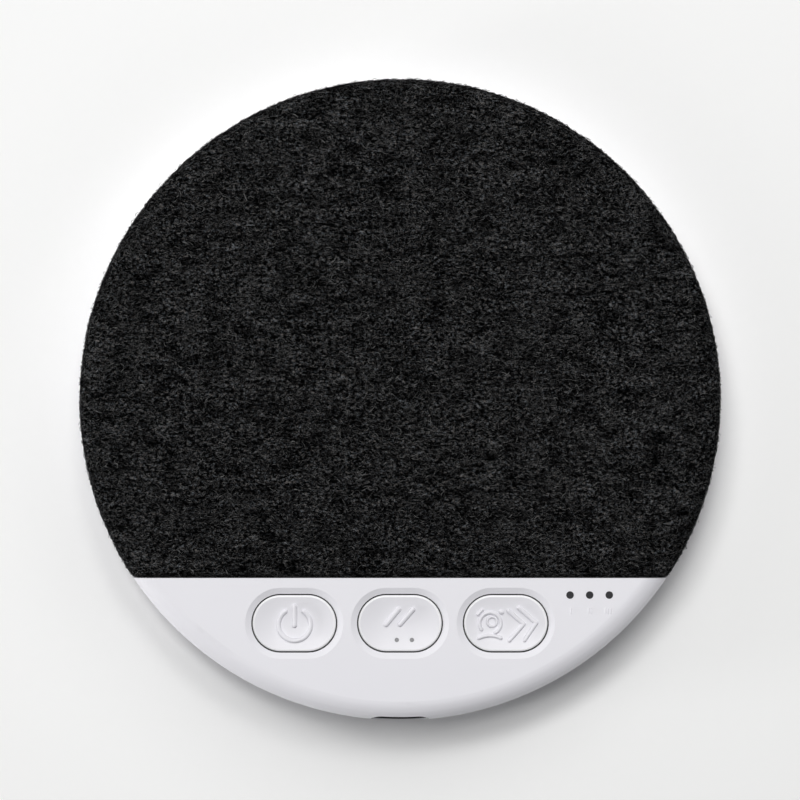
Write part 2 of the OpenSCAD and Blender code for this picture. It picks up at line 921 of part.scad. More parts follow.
module power_plunger() {
    plunger(key_x[0]);
}

module play_plunger() {
    plunger(key_x[1]);
}

module timer_plunger() {
    plunger(key_x[2]);
}

module push_switch(x) {
    color([0.6, 0.6, 0.62])
        translate([x, key_y, board_top])
            difference() {
                rounded_block([switch_w, switch_w, switch_h], switch_edge_r);
                translate([0, 0, switch_floor])
                    cylinder(d = dome_d + 2 * slack, h = switch_h - switch_lid - switch_floor);
                cylinder(d = plunger_d + 2 * light_gap, h = switch_h + over);
                translate([0, 0, -over]) cylinder(d = plunger_d / 2, h = over);
            }
}

module power_switch() {
    push_switch(key_x[0]);
}

module play_switch() {
    push_switch(key_x[1]);
}

module timer_switch() {
    push_switch(key_x[2]);
}

// The thin snap dome that lifts a plunger and clicks when it is pressed flat
module snap_dome(x) {
    foot_r = dome_d / 2;
    dome_r = (foot_r * foot_r + dome_rise * dome_rise) / (2 * dome_rise);
    color("silver")
        translate([x, key_y, board_top + switch_floor])
            rotate_extrude()
                intersection() {
                    difference() {
                        translate([0, dome_rise - dome_r]) circle(dome_r + dome_t, $fn = dome_fn);
                        translate([0, dome_rise - dome_r]) circle(dome_r, $fn = dome_fn);
                    }
                    square([foot_r, dome_rise + dome_t]);
                }
}

module power_dome() {
    snap_dome(key_x[0]);
}

module play_dome() {
    snap_dome(key_x[1]);
}

module timer_dome() {
    snap_dome(key_x[2]);
}

// Lights

module indicator_lenses() {
    color([0.2, 0.2, 0.22])
        for (i = [-1 : 1])
            translate([light_x + i * light_pitch, light_y, deck_under])
                cylinder(d = light_d, h = deck_t - fit);
}

module light_shield() {
    bottom = board_top + fit;
    size = [2 * (light_pitch + shield_margin), shield_w, deck_under - fit - bottom];
    color([0.1, 0.1, 0.1])
        difference() {
            intersection() {
                translate([light_x, light_y, bottom]) rounded_block(size, shield_edge_r);
                cylinder(r = shell_in_r - slack, h = deck_z);
            }
            for (i = [-1 : 1])
                translate([light_x + i * light_pitch, light_y, bottom - over])
                    cylinder(d = shield_bore_d, h = deck_under);
        }
}

module led(x, y) {
    translate([x, y, board_top + led_size.z / 2]) cube(led_size, center = true);
}

module indicator_leds() {
    color([0.95, 0.9, 0.7])
        for (i = [-1 : 1]) led(light_x + i * light_pitch, light_y);
}

module play_leds() {
    color([0.95, 0.9, 0.7])
        for (spot = guide_spots) led(key_x[1] + spot.x, key_y - switch_w / 2 - led_gap - led_size.y / 2);
}

// Board and what stands on it

module main_board() {
    color([0.1, 0.35, 0.2])
        difference() {
            translate([0, 0, board_under])
                linear_extrude(board_t) {
                    deck_segment(board_deck_r, deck_wall_in + slack);
                    deck_segment(board_inner_r, board_inner_reach);
                }
            for (spot = port_screws)
                translate([spot.x, spot.y, board_under - over])
                    cylinder(d = case_screw_d + 2 * slack, h = board_t + 2 * over);
            for (spot = board_screw_spots)
                translate([spot.x, spot.y, board_under - over])
                    cylinder(d = board_screw_d + 2 * slack, h = board_t + 2 * over);
        }
}

// A chip under the board
module chip(x, y, size) {
    translate([x, y, board_under - size.z]) rounded_block(size, chip_edge_r);
}

module radio_chip() {
    color([0.12, 0.12, 0.13]) chip(radio_x, rear_row_y, radio_size);
}

module memory_chip() {
    color([0.12, 0.12, 0.13]) chip(0, front_row_y, memory_size);
}

module amplifier_chip() {
    color([0.12, 0.12, 0.13]) chip(amplifier_x, rear_row_y, amplifier_size);
}

module charger_chip() {
    color([0.12, 0.12, 0.13]) chip(charger_x, rear_row_y, charger_size);
}

module clock_crystal() {
    color("silver") chip(0, rear_row_y, crystal_size);
}

module power_inductor() {
    color([0.25, 0.25, 0.27]) chip(inductor_x, front_row_y, inductor_size);
}

module board_capacitors() {
    color([0.7, 0.6, 0.45])
        for (i = [0 : 3], row = [0, 1])
            chip(capacitor_x + i * capacitor_pitch.x, key_y + row * capacitor_pitch.y, capacitor_size);
}

module usb_shell() {
    color("silver")
        translate([0, socket_back_y, socket_z])
            rotate([90, 0, 0])
                linear_extrude(socket_l)
                    difference() {
                        slot_outline(socket_w, socket_h);
                        slot_outline(socket_w - 2 * socket_t, socket_h - 2 * socket_t);
                    }
}

module usb_tongue() {
    block_l = 1.6;
    tongue_w = 6.7;
    tongue_h = 0.7;
    tongue_inset = 0.9;
    inner_w = socket_w - 2 * socket_t;
    inner_h = socket_h - 2 * socket_t;
    color([0.12, 0.12, 0.13])
        translate([0, socket_back_y, socket_z])
            rotate([90, 0, 0]) {
                linear_extrude(block_l) slot_outline(inner_w - 2 * light_gap, inner_h - 2 * light_gap);
                linear_extrude(socket_l - tongue_inset) square([tongue_w, tongue_h], center = true);
            }
}

// Battery

module battery_cell() {
    color([0.75, 0.77, 0.8])
        translate([cell_x, cell_y + cell_l / 2, cell_z + cell_t / 2])
            rotate([90, 0, 0]) rounded_block([cell_w, cell_t, cell_l], cell_edge_r);
}

module battery_tape() {
    color([0.85, 0.85, 0.8])
        translate([cell_x, cell_y, floor_z])
            rounded_block([cell_w - 2 * tape_margin, cell_l - 2 * tape_margin, tape_t], tape_edge_r);
}

module battery_guard_board() {
    color([0.1, 0.35, 0.2])
        translate([cell_x, guard_y, cell_z])
            rounded_block([cell_w - 2 * guard_margin, guard_w, guard_t], small_edge_r);
}

module battery_lead(side) {
    x = plug_x + side * plug_pitch / 2;
    z_start = cell_z + guard_t / 2;
    z_end = board_under - socket_size.z / 2;
    y_start = guard_y - guard_w / 2;
    bend = (y_start - plug_back_y) / 2;
    wire([
        [x, y_start, z_start], [x, y_start - bend, z_start],
        [x, plug_back_y + bend, z_end], [x, plug_back_y, z_end]
    ]);
}

module battery_lead_red() {
    color([0.75, 0.1, 0.1]) battery_lead(-1);
}

module battery_lead_black() {
    color([0.08, 0.08, 0.08]) battery_lead(1);
}

module battery_socket() {
    middle_y = plug_y - plug_size.y / 2 + plug_depth - socket_size.y / 2;
    color([0.92, 0.9, 0.84])
        difference() {
            translate([plug_x, middle_y, board_under - socket_size.z])
                rounded_block(socket_size, small_edge_r);
            translate([plug_x - plug_size.x / 2 - fit, plug_y - plug_size.y / 2 - fit,
                board_under - socket_size.z / 2 - plug_size.z / 2 - fit])
                cube([plug_size.x + 2 * fit, plug_size.y + over + 2 * fit, plug_size.z + 2 * fit]);
        }
}

module battery_plug() {
    color([0.95, 0.94, 0.9])
        translate([plug_x, plug_y, board_under - socket_size.z / 2 - plug_size.z / 2])
            rounded_block(plug_size, small_edge_r);
}

module speaker_lead(side) {
    seat_r = terminal_r + wire_seat;
    offset = side * wire_pitch / 2;
    start_x = driver_x + seat_r * cos(terminal_angle) - offset * sin(terminal_angle);
    start_y = driver_y + seat_r * sin(terminal_angle) + offset * cos(terminal_angle);
    wire([
        [start_x, start_y, terminal_z], [start_x, start_y, terminal_z - wire_drop],
        [start_x, speaker_pad_y, board_under - wire_drop], [start_x, speaker_pad_y, board_under]
    ]);
}

module speaker_lead_red() {
    color([0.75, 0.1, 0.1]) speaker_lead(-1);
}

module speaker_lead_black() {
    color([0.08, 0.08, 0.08]) speaker_lead(1);
}

// Driver

module driver_basket() {
    seat_r = yoke_d / 2 + light_gap;
    low = yoke_z + yoke_h - basket_grip;
    corner_z = flange_under - basket_drop;
    window_in = yoke_d / 2 + window_margin;
    window_out = basket_wall_r - window_margin;
    color([0.3, 0.3, 0.32])
        at_driver()
            difference() {
                rotate_extrude()
                    polygon([
                        [seat_r, low], [seat_r + basket_seat_w, low], [basket_wall_r, corner_z],
                        [basket_wall_r, flange_under], [driver_r, flange_under], [driver_r, flange_top],
                        [basket_wall_r - basket_t, flange_top],
                        [basket_wall_r - basket_t, corner_z + basket_t],
                        [seat_r + basket_seat_w - basket_t / 2, low + basket_t], [seat_r, low + basket_t]
                    ]);
                for (i = [0 : window_count - 1])
                    rotate([0, 0, (i + 0.5) * 360 / window_count])
                        translate([0, 0, low - over])
                            linear_extrude(flange_top - low + 2 * over)
                                intersection() {
                                    difference() {
                                        circle(window_out);
                                        circle(window_in);
                                    }
                                    translate([0, -window_w / 2]) square([driver_r, window_w]);
                                }
            }
}

module driver_yoke() {
    color([0.55, 0.55, 0.57])
        at_driver() translate([0, 0, yoke_z])
            difference() {
                cylinder(d = yoke_d, h = yoke_h);
                translate([0, 0, yoke_floor]) cylinder(r = yoke_d / 2 - yoke_t, h = yoke_h);
            }
}

module driver_magnet() {
    color([0.45, 0.45, 0.48])
        at_driver() translate([0, 0, yoke_z + yoke_floor]) cylinder(r = pole_r - magnet_step, h = magnet_h);
}

module driver_top_plate() {
    color([0.6, 0.6, 0.62])
        at_driver()
            translate([0, 0, yoke_z + yoke_floor + magnet_h])
                cylinder(r = pole_r, h = yoke_h - yoke_floor - magnet_h);
}

module voice_coil() {
    color([0.7, 0.4, 0.2])
        at_driver() translate([0, 0, coil_z])
            difference() {
                cylinder(r = coil_out_r, h = cone_low - coil_z);
                translate([0, 0, -over]) cylinder(r = coil_in_r, h = cone_low - coil_z + 2 * over);
            }
}

module driver_cone() {
    rim_z = flange_top - cone_t;
    color([0.16, 0.16, 0.17])
        at_driver()
            rotate_extrude()
                polygon([
                    [coil_in_r, cone_low], [coil_out_r + cone_t, cone_low],
                    [cone_rim_r - cone_rim_w, rim_z], [cone_rim_r, rim_z], [cone_rim_r, flange_top],
                    [cone_rim_r - cone_rim_w - cone_t, flange_top],
                    [coil_out_r, cone_low + cone_t], [coil_in_r, cone_low + cone_t]
                ]);
}

module dust_cap() {
    cap_r = coil_out_r - cap_margin;
    ball_r = (cap_r * cap_r + cap_h * cap_h) / (2 * cap_h);
    color([0.12, 0.12, 0.13])
        at_driver() translate([0, 0, cone_low + cone_t])
            rotate_extrude()
                intersection() {
                    difference() {
                        translate([0, cap_h - ball_r]) circle(ball_r, $fn = wide_arc_fn);
                        translate([0, cap_h - ball_r]) circle(ball_r - cone_t, $fn = wide_arc_fn);
                    }
                    square([cap_r, cap_h]);
                }
}

module driver_surround() {
    color([0.1, 0.1, 0.11])
        at_driver() translate([0, 0, flange_top])
            rotate_extrude() {
                translate([sound_r - surround_t, 0]) square([landing_w + surround_t - fit, surround_t]);
                translate([cone_rim_r - cone_rim_w, 0]) square([cone_rim_w, surround_t]);
                intersection() {
                    translate([roll_mean_r, 0])
                        difference() {
                            circle(roll_out_r);
                            circle(roll_out_r - surround_t);
                        }
                    translate([cone_rim_r - cone_rim_w, 0]) square([driver_r, roll_out_r]);
                }
            }
}

module driver_gasket() {
    color([0.2, 0.2, 0.2])
        at_driver() translate([0, 0, landing_top])
            difference() {
                cylinder(r = driver_r - fit, h = gasket_t);
                translate([0, 0, -over]) cylinder(r = sound_r, h = gasket_t + 2 * over);
            }
}

module driver_terminal() {
    color([0.1, 0.35, 0.2])
        at_driver()
            rotate([0, 0, terminal_angle])
                translate([terminal_r, 0, terminal_z])
                    rounded_block(terminal_size, small_edge_r);
}

base_shell();
upper_case();
cloth_cover();
foam_pad();
cloth_carrier();
rubber_feet();
case_screws();
board_screws();
driver_screws();
power_key();
play_key();
timer_key();
play_light_guides();
power_plunger();
play_plunger();
timer_plunger();
power_switch();
play_switch();
timer_switch();
power_dome();
play_dome();
timer_dome();
indicator_lenses();
indicator_leds();
play_leds();
light_shield();
main_board();
radio_chip();
memory_chip();
amplifier_chip();
charger_chip();
clock_crystal();
power_inductor();
board_capacitors();
usb_shell();
usb_tongue();
battery_cell();
battery_tape();
battery_guard_board();
battery_lead_red();
battery_lead_black();
battery_plug();
battery_socket();
speaker_lead_red();
speaker_lead_black();
driver_basket();
driver_yoke();
driver_magnet();
driver_top_plate();
voice_coil();
driver_cone();
dust_cap();
driver_surround();
driver_gasket();
driver_terminal();
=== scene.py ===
import json
import math

import bpy
import numpy as np
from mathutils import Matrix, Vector


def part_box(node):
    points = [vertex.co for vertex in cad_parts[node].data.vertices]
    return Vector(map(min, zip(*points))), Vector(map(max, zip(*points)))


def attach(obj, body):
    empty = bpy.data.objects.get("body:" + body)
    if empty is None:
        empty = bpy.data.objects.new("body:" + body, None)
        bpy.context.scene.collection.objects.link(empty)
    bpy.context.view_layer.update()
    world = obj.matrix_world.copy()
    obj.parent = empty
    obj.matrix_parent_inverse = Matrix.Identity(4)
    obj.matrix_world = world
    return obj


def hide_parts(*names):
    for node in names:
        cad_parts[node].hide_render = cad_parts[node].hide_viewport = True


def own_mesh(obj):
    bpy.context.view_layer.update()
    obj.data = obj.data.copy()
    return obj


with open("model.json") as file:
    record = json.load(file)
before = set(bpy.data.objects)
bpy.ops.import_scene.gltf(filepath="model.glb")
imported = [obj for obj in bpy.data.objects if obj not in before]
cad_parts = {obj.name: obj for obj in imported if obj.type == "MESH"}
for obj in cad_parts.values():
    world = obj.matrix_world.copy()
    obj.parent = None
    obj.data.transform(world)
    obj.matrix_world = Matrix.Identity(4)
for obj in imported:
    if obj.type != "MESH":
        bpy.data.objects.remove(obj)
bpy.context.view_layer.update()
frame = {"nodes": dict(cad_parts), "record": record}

# Lengths are in millimetres in the CAD's frame: X right, Y away from the keys, Z up.
MM = 0.001
nodes = frame["nodes"]


# Finishes.


class Number:
    """A number socket that stands in Python arithmetic: every operator adds one Math node."""

    def __init__(self, finish, socket):
        self.finish = finish
        self.socket = socket

    def math(self, operation, *terms):
        node = self.finish.add("ShaderNodeMath", {"operation": operation}, dict(enumerate(terms)))
        return Number(self.finish, node.outputs[0])

    def __add__(self, other):
        return self.math("ADD", self, other)

    def __sub__(self, other):
        return self.math("SUBTRACT", self, other)

    def __rsub__(self, other):
        return self.math("SUBTRACT", other, self)

    def __mul__(self, other):
        return self.math("MULTIPLY", self, other)

    def __pow__(self, other):
        return self.math("POWER", self, other)

    __radd__ = __add__

    def sine(self):
        return self.math("SINE", self)

    def most(self, other):
        return self.math("MAXIMUM", self, other)

    def eased(self, low, high):
        """0 at low and 1 at high, with a smooth step between them."""
        sockets = {"Value": self, "From Min": low, "From Max": high}
        node = self.finish.add("ShaderNodeMapRange", {"interpolation_type": "SMOOTHSTEP"}, sockets)
        return Number(self.finish, node.outputs["Result"])


class Finish:
    """One procedural material. steady holds what is the same all over, for the shader's own sockets."""

    def __init__(self, name, steady=()):
        self.material = bpy.data.materials.new(name)
        self.material.use_nodes = True
        self.tree = self.material.node_tree
        self.shader = self.tree.nodes["Principled BSDF"]
        for key, value in dict(steady).items():
            self.shader.inputs[key].default_value = value
        self.place = self.add("ShaderNodeTexCoord").outputs["Object"]

    def add(self, kind, settings=(), sockets=()):
        """Adds a node of this type, then makes its settings, then gives its sockets values or links."""
        node = self.tree.nodes.new(kind)
        for name, setting in dict(settings).items():
            setattr(node, name, setting)
        for key, value in dict(sockets).items():
            self.feed(node.inputs[key], value)
        return node

    def feed(self, socket, value):
        source = getattr(value, "socket", value)
        if isinstance(source, bpy.types.NodeSocket):
            self.tree.links.new(socket, source)
        elif hasattr(source, "__len__") and len(source) == 3 and socket.type == "RGBA":
            socket.default_value = (*source, 1.0)
        else:
            socket.default_value = source

    def number(self, node, output):
        return Number(self, node.outputs[output])

    def stretched(self, scale, turn=(0, 0, 0), place=None):
        """Object coordinates, or place, scaled by an amount for each axis and turned."""
        sockets = {"Vector": place or self.place, "Scale": scale, "Rotation": turn}
        return self.add("ShaderNodeMapping", (), sockets).outputs["Vector"]

    def noise(self, size, detail=2.0, rough=0.5, place=None, bend=0.0):
        """Soft noise from 0 to 1 whose cells are about size millimetres wide."""
        sockets = {
            "Vector": place or self.place,
            "Scale": 1 / (size * MM),
            "Detail": detail,
            "Roughness": rough,
            "Distortion": bend,
        }
        return self.number(self.add("ShaderNodeTexNoise", (), sockets), "Fac")

    def cells(self, size, spread=1.0):
        """Cells of about size millimetres: how far each point lies from its cell's seed."""
        sockets = {"Vector": self.place, "Scale": 1 / (size * MM), "Randomness": spread}
        node = self.add("ShaderNodeTexVoronoi", {"feature": "F1"}, sockets)
        return self.number(node, "Distance")

    def axis(self, name, place=None):
        """One coordinate, in millimetres."""
        node = self.add("ShaderNodeSeparateXYZ", (), {"Vector": place or self.place})
        return self.number(node, name) * (1 / MM)

    def tint(self, share, low, high):
        """A colour that goes from low to high as share goes from 0 to 1."""
        node = self.add("ShaderNodeMix", {"data_type": "RGBA"}, {0: share, 6: low, 7: high})
        return node.outputs[2]

    def paint(self, colour, roughness, height=None, depth=0.0, metallic=None):
        """Gives the shader its colour, its roughness, and a relief of depth millimetres by height."""
        self.feed(self.shader.inputs["Base Color"], colour)
        self.feed(self.shader.inputs["Roughness"], roughness)
        if metallic is not None:
            self.feed(self.shader.inputs["Metallic"], metallic)
        if height is not None:
            bump = self.add("ShaderNodeBump", (), {"Height": height, "Distance": depth * MM})
            self.feed(self.shader.inputs["Normal"], bump.outputs["Normal"])
        return self.material


def shades(colour, spread):
    """The darker and the lighter colour that lie spread either side of a colour."""
    return [c * (1 - spread) for c in colour], [min(1.0, c * (1 + spread)) for c in colour]


def moulded(name, colour, rough, spread, grain, depth):
    """Moulded plastic or rubber: a slow drift of its colour, and the fine grain that the mould leaves."""
    finish = Finish(name)
    drift = finish.noise(7.0, detail=2.0)
    fine = finish.noise(grain, detail=2.0, rough=0.6)
    soft = finish.noise(2.4, detail=3.0)
    low, high = shades(colour, spread)
    roughness = fine * 0.1 + soft * 0.1 + (rough - 0.1)
    return finish.paint(finish.tint(drift * 0.7 + fine * 0.3, low, high), roughness, fine, depth)


def shell_plastic():
    """Satin cool white plastic, with painted shade: near-black inside the charging port and down the walls
    of the key wells.
    """
    finish = Finish("satin white shell")
    drift = finish.noise(7.0)
    fine = finish.noise(0.14, rough=0.6)
    soft = finish.noise(2.4, detail=3.0)
    x, y, z = (finish.axis(name) for name in "XYZ")
    across = (x * x) ** 0.5
    rows = (z - PORT_Z) * (z - PORT_Z)
    beyond = (across - PORT_STRAIGHT).most(0.0)
    # Painted shade inside the charging port, behind its pale lip.
    in_port = 1 - (beyond * beyond + rows).eased((PORT_R + 0.07) ** 2, (PORT_R + 0.1) ** 2)
    behind_lip = 1 - ((x * x + y * y) ** 0.5).eased(PORT_LIP_R - 0.02, PORT_LIP_R)
    port_shade = in_port * behind_lip * (0 - y).eased(40.0, 40.5)
    # Painted shade down the walls of the key wells, below their top edge.
    well_half = KEY_HALF + WELL_GAP
    in_well = 1 - slot_distance(finish).eased(well_half + 0.02, well_half + 0.04)
    under_edge = 1 - z.eased(WELL_TOP - 0.08, WELL_TOP - 0.04)
    well_shade = in_well * z.eased(WELL_LOW, WELL_LOW + 0.1) * under_edge
    # The painted shade of the port and the wells together, coloured near-black below.
    lining = port_shade.most(well_shade)
    white = finish.tint(drift * 0.7 + fine * 0.3, *shades((0.845, 0.838, 0.882), 0.012))
    colour = finish.tint(lining, white, (0.02, 0.019, 0.019))
    return finish.paint(colour, fine * 0.1 + soft * 0.1 + 0.36, fine, 0.0022)


def slot_distance(finish):
    """How far a point lies from its key's middle line, in plan. The outer keys fold onto the middle one."""
    x, y = (finish.axis("X") ** 2) ** 0.5, finish.axis("Y") - KEY_Y
    folded = ((x - x.math("GREATER_THAN", x, KEY_PITCH / 2) * KEY_PITCH) ** 2) ** 0.5
    along = (folded - KEY_STRAIGHT / 2).most(0.0)
    return (along * along + y * y) ** 0.5


def key_plastic():
    """Satin white, with a painted highlight on the rounded edge; a little way down its walls it turns
    near-black, painted shade in the gap round the key.
    """
    finish = Finish("satin white key")
    drift = finish.noise(7.0)
    fine = finish.noise(0.12, rough=0.6)
    soft = finish.noise(2.4, detail=3.0)
    # Painted highlight: the rounded top edge of each key is painted brighter.
    near_edge = slot_distance(finish).eased(KEY_HALF - 0.42, KEY_HALF - 0.18)
    polished = near_edge * finish.axis("Z").eased(KEY_TOP - 0.4, KEY_TOP - 0.2)
    # Painted shade: below this height the walls and flange are near-black, as shade in the gap round the
    # key.
    above_gap_shade = finish.axis("Z").eased(GAP_SHADE_Z - 0.1, GAP_SHADE_Z + 0.1)
    white = finish.tint(drift * 0.7 + fine * 0.3, *shades((0.83, 0.823, 0.865), 0.012))
    with_painted_highlight = finish.tint(polished, white, (0.97, 0.97, 0.985))
    colour = finish.tint(above_gap_shade, (0.05, 0.048, 0.05), with_painted_highlight)
    return finish.paint(colour, fine * 0.1 + soft * 0.1 + 0.32, fine, 0.0018)


def rolled_metal(name, colour, rough, lines=(0.5, 12.0, 12.0), depth=0.002):
    """Sheet or turned metal: fine lines along one axis, small stains and a little wear in its gloss."""
    finish = Finish(name)
    along = finish.noise(1.0, detail=4.0, rough=0.65, place=finish.stretched(lines))
    stain = finish.noise(3.5, detail=3.0)
    low, high = shades(colour, 0.16)
    shade = finish.tint(along * 0.6 + stain * 0.4, low, high)
    return finish.paint(shade, along * 0.2 + stain * 0.14 + (rough - 0.17), along, depth, metallic=1.0)


def wound_copper():
    """Lacquered wire in even turns, one above the next, painted darker between the turns as shade."""
    finish = Finish("lacquered copper winding", {"Coat Weight": 0.5, "Coat Roughness": 0.15})
    turns = (finish.axis("Z") * (2 * math.pi / 0.16)).sine() * 0.5 + 0.5
    drift = finish.noise(1.5)
    # Painted shade: darker between the turns, where the relief is low.
    shade = finish.tint(turns * 0.7 + drift * 0.3, (0.25, 0.09, 0.035), (0.82, 0.42, 0.22))
    return finish.paint(shade, drift * 0.2 + 0.22, turns, 0.03, metallic=1.0)


def pressed_pulp():
    """Black cone paper: matted fibres pressed in a felt of pulp."""
    finish = Finish("pressed black pulp", {"Specular IOR Level": 0.25})
    fibre = finish.noise(0.35, detail=5.0, rough=0.7, bend=1.2)
    clump = finish.noise(2.2, detail=3.0)
    shade = finish.tint(fibre * 0.6 + clump * 0.4, (0.012, 0.012, 0.013), (0.06, 0.058, 0.056))
    return finish.paint(shade, fibre * 0.15 + 0.75, fibre, 0.03)


def solder_mask():
    """A circuit board: tracks in two directions under green varnish, and tinned rings."""
    finish = Finish("green varnished board", {"Coat Weight": 0.4, "Coat Roughness": 0.2})
    bend = (finish.noise(6.0, detail=0.0) - 0.5) * 9.0
    across = ((finish.axis("X") + bend) * (2 * math.pi / 0.9)).sine()
    along = ((finish.axis("Y") - bend) * (2 * math.pi / 0.8)).sine()
    pick = finish.noise(7.5, detail=0.0).eased(0.49, 0.51)
    track = (across * pick + along * (1 - pick)).eased(0.1, 0.4)
    ring = 1 - finish.cells(2.1, spread=0.8).eased(0.12, 0.16)
    green = finish.tint(track, (0.006, 0.05, 0.018), (0.014, 0.115, 0.04))
    shade = finish.tint(ring, green, (0.5, 0.47, 0.4))
    return finish.paint(shade, 0.3 + finish.noise(1.2) * 0.15, track + ring, 0.02, metallic=ring)


def foil():
    """The cell's laminated pouch: soft silver with shallow wrinkles and a faint embossed grain."""
    finish = Finish("laminated pouch foil")
    crease = finish.noise(6.0, detail=4.0, rough=0.6, bend=1.5)
    fine = finish.noise(0.3, detail=2.0)
    shade = finish.tint(crease, (0.5, 0.51, 0.53), (0.78, 0.79, 0.81))
    return finish.paint(shade, crease * 0.2 + 0.26, crease * 0.9 + fine * 0.1, 0.12, metallic=0.85)


def open_foam(name, dark, light, size):
    """Open-cell foam: small pits, painted dark as shade, with thin bright walls between them."""
    finish = Finish(name, {"Specular IOR Level": 0.15})
    pit = finish.cells(size)
    drift = finish.noise(4.0)
    # Painted shade: each pit darkens towards its middle.
    shade = finish.tint(pit.eased(0.15, 0.75) * 0.8 + drift * 0.2, dark, light)
    return finish.paint(shade, drift * 0.1 + 0.85, pit, 0.15)


def smoked_lens():
    """Dark smoked plastic, polished, with a faint cloud in it."""
    finish = Finish("smoked lens", {"Coat Weight": 0.3, "Coat Roughness": 0.08})
    cloud = finish.noise(0.5, detail=2.0)
    shade = finish.tint(cloud, (0.012, 0.012, 0.015), (0.03, 0.03, 0.034))
    return finish.paint(shade, cloud * 0.1 + 0.16)


def guide_plastic():
    """The clear guides in the middle key: milky grey rod ends with a soft gloss."""
    finish = Finish("grey light guide", {"Coat Weight": 0.2, "Coat Roughness": 0.1})
    cloud = finish.noise(0.3, detail=2.0)
    shade = finish.tint(cloud, (0.24, 0.24, 0.25), (0.36, 0.36, 0.37))
    return finish.paint(shade, cloud * 0.15 + 0.25)


def diode():
    """A moulded diode: a pale yellow body with a faint cloud in it."""
    finish = Finish("moulded diode", {"Coat Weight": 0.3, "Coat Roughness": 0.12})
    cloud = finish.noise(0.4, detail=2.0)
    shade = finish.tint(cloud, (0.78, 0.74, 0.48), (0.88, 0.86, 0.7))
    return finish.paint(shade, cloud * 0.12 + 0.3)


def own_map(finish):
    """The map that a piece carries."""
    return finish.add("ShaderNodeUVMap", {"uv_map": MAP_NAME}).outputs["UV"]


def cloth_place(finish, span):
    """The cloth's own map, in metres of flat cloth from its middle."""
    subtract, multiply = {"operation": "SUBTRACT"}, {"operation": "MULTIPLY"}
    centred = finish.add("ShaderNodeVectorMath", subtract, {0: own_map(finish), 1: (0.5, 0.5, 0)})
    scaled = finish.add("ShaderNodeVectorMath", multiply, {0: centred.outputs[0], 1: (span, span, 0)})
    return scaled.outputs[0]


def filament(finish, size, place):
    """Curly threads: bright where a bent noise passes through its middle value, dark elsewhere."""
    field = finish.noise(size, 1.0, 0.5, place, 1.0)
    return 1 - ((field - 0.5) * (field - 0.5)).eased(0.0, 0.004)


def felted_knit(span):
    """Near-black heather: clumped fibres in three directions, mostly along faint knit courses, with painted
    shade in the clumps' hollows.
    """
    finish = Finish("dark heathered felt", {"Specular IOR Level": 0.0})
    flat = cloth_place(finish, span)
    sway = finish.noise(4.0, detail=1.0, place=flat)
    course = ((finish.axis("Y", flat) + sway * 1.3) * (2 * math.pi / COURSE)).sine() * 0.5 + 0.5

    def combed_place(share, turn=0):
        """The flat cloth's place, drawn out along the courses and turned."""
        return finish.stretched((share, 1.0, 1.0), (0, 0, turn), flat)

    combed = filament(finish, 0.3, combed_place(0.42, 0.1))
    crossed = filament(finish, 0.28, combed_place(0.45, -0.6))
    curled = filament(finish, 0.3, combed_place(0.5, 0.55))
    speck = finish.noise(0.2, detail=2.0, rough=0.7, place=flat)
    clump = finish.noise(0.5, detail=3.0, rough=0.7, place=combed_place(0.8))
    patch = finish.noise(1.9, detail=4.0, rough=0.65, place=combed_place(0.5))
    fibre = combed.most(crossed * 0.85).most(curled * 0.9)
    # Clumping of the fibres, and painted shade: the tone falls where the clumps' relief is low.
    hollow = clump.eased(0.38, 0.66) * 0.95 + 0.05
    drift = finish.noise(11.0, detail=2.0, place=flat).eased(0.3, 0.7) * 0.3 + 0.83
    worn = (patch.eased(0.3, 0.7) * 1.05 + 0.33) * drift
    tone = (fibre * 0.88 + 0.12) * hollow * worn * (speck * 3.6 - 0.75).most(0.0)
    dye = finish.noise(0.45, detail=1.0, place=flat).eased(0.35, 0.65)
    pale = finish.tint(dye, (0.15, 0.14, 0.134), (0.128, 0.14, 0.154))
    shade = finish.tint(tone ** 1.8, (0.0003, 0.0003, 0.0004), pale)
    height = fibre * 0.45 + clump * 0.4 + course * 0.15
    return finish.paint(shade, tone * 0.1 + 0.85, height, 0.2)


def strand_wool():
    """Loose fibres: how light each is stands in the map's first number, and its ends are darker."""
    finish = Finish("loose wool fibres", {"Specular IOR Level": 0.02})
    split = finish.add("ShaderNodeSeparateXYZ", (), {"Vector": own_map(finish)})
    light = finish.number(split, "X")
    along = finish.number(split, "Y")
    middle = along * (1 - along) * 4
    speck = finish.noise(0.22, detail=1.0)
    tone = light ** 2.2 * (middle * 0.4 + 0.6) * (speck * 4.2 - 1.1).most(0.0)
    shade = finish.tint(tone, (0.0012, 0.0012, 0.0014), (0.25, 0.25, 0.25))
    return finish.paint(shade, middle * 0.1 + 0.7)


# The charging port's slot-shaped outline, and the radius where its pale lip begins: they bound the port's
# painted shade.
PORT_Z = 9.78
PORT_R = 1.88
PORT_STRAIGHT = 2.89
PORT_LIP_R = 49.88

# The keys: middle line, pitch, half width, straight length, highest edge, and the height of their painted
# shade.
# The wells round them: the gap, and the heights between which their walls are painted dark as shade.
KEY_Y = -34.8
KEY_PITCH = 16.45
KEY_HALF = 4.375
KEY_STRAIGHT = 4.25
KEY_TOP = 12.7
GAP_SHADE_Z = 12.15
WELL_GAP = 0.2
WELL_LOW = 10.6
WELL_TOP = 12.55

# The pitch of the cloth's knit courses, the metres of flat cloth that its map spans, and the map's name.
COURSE = 0.5
MAP_SPAN = 0.12
MAP_NAME = "OFBake"

# How many corners the seeded noise table has along each side.
LATTICE_SIZE = 251

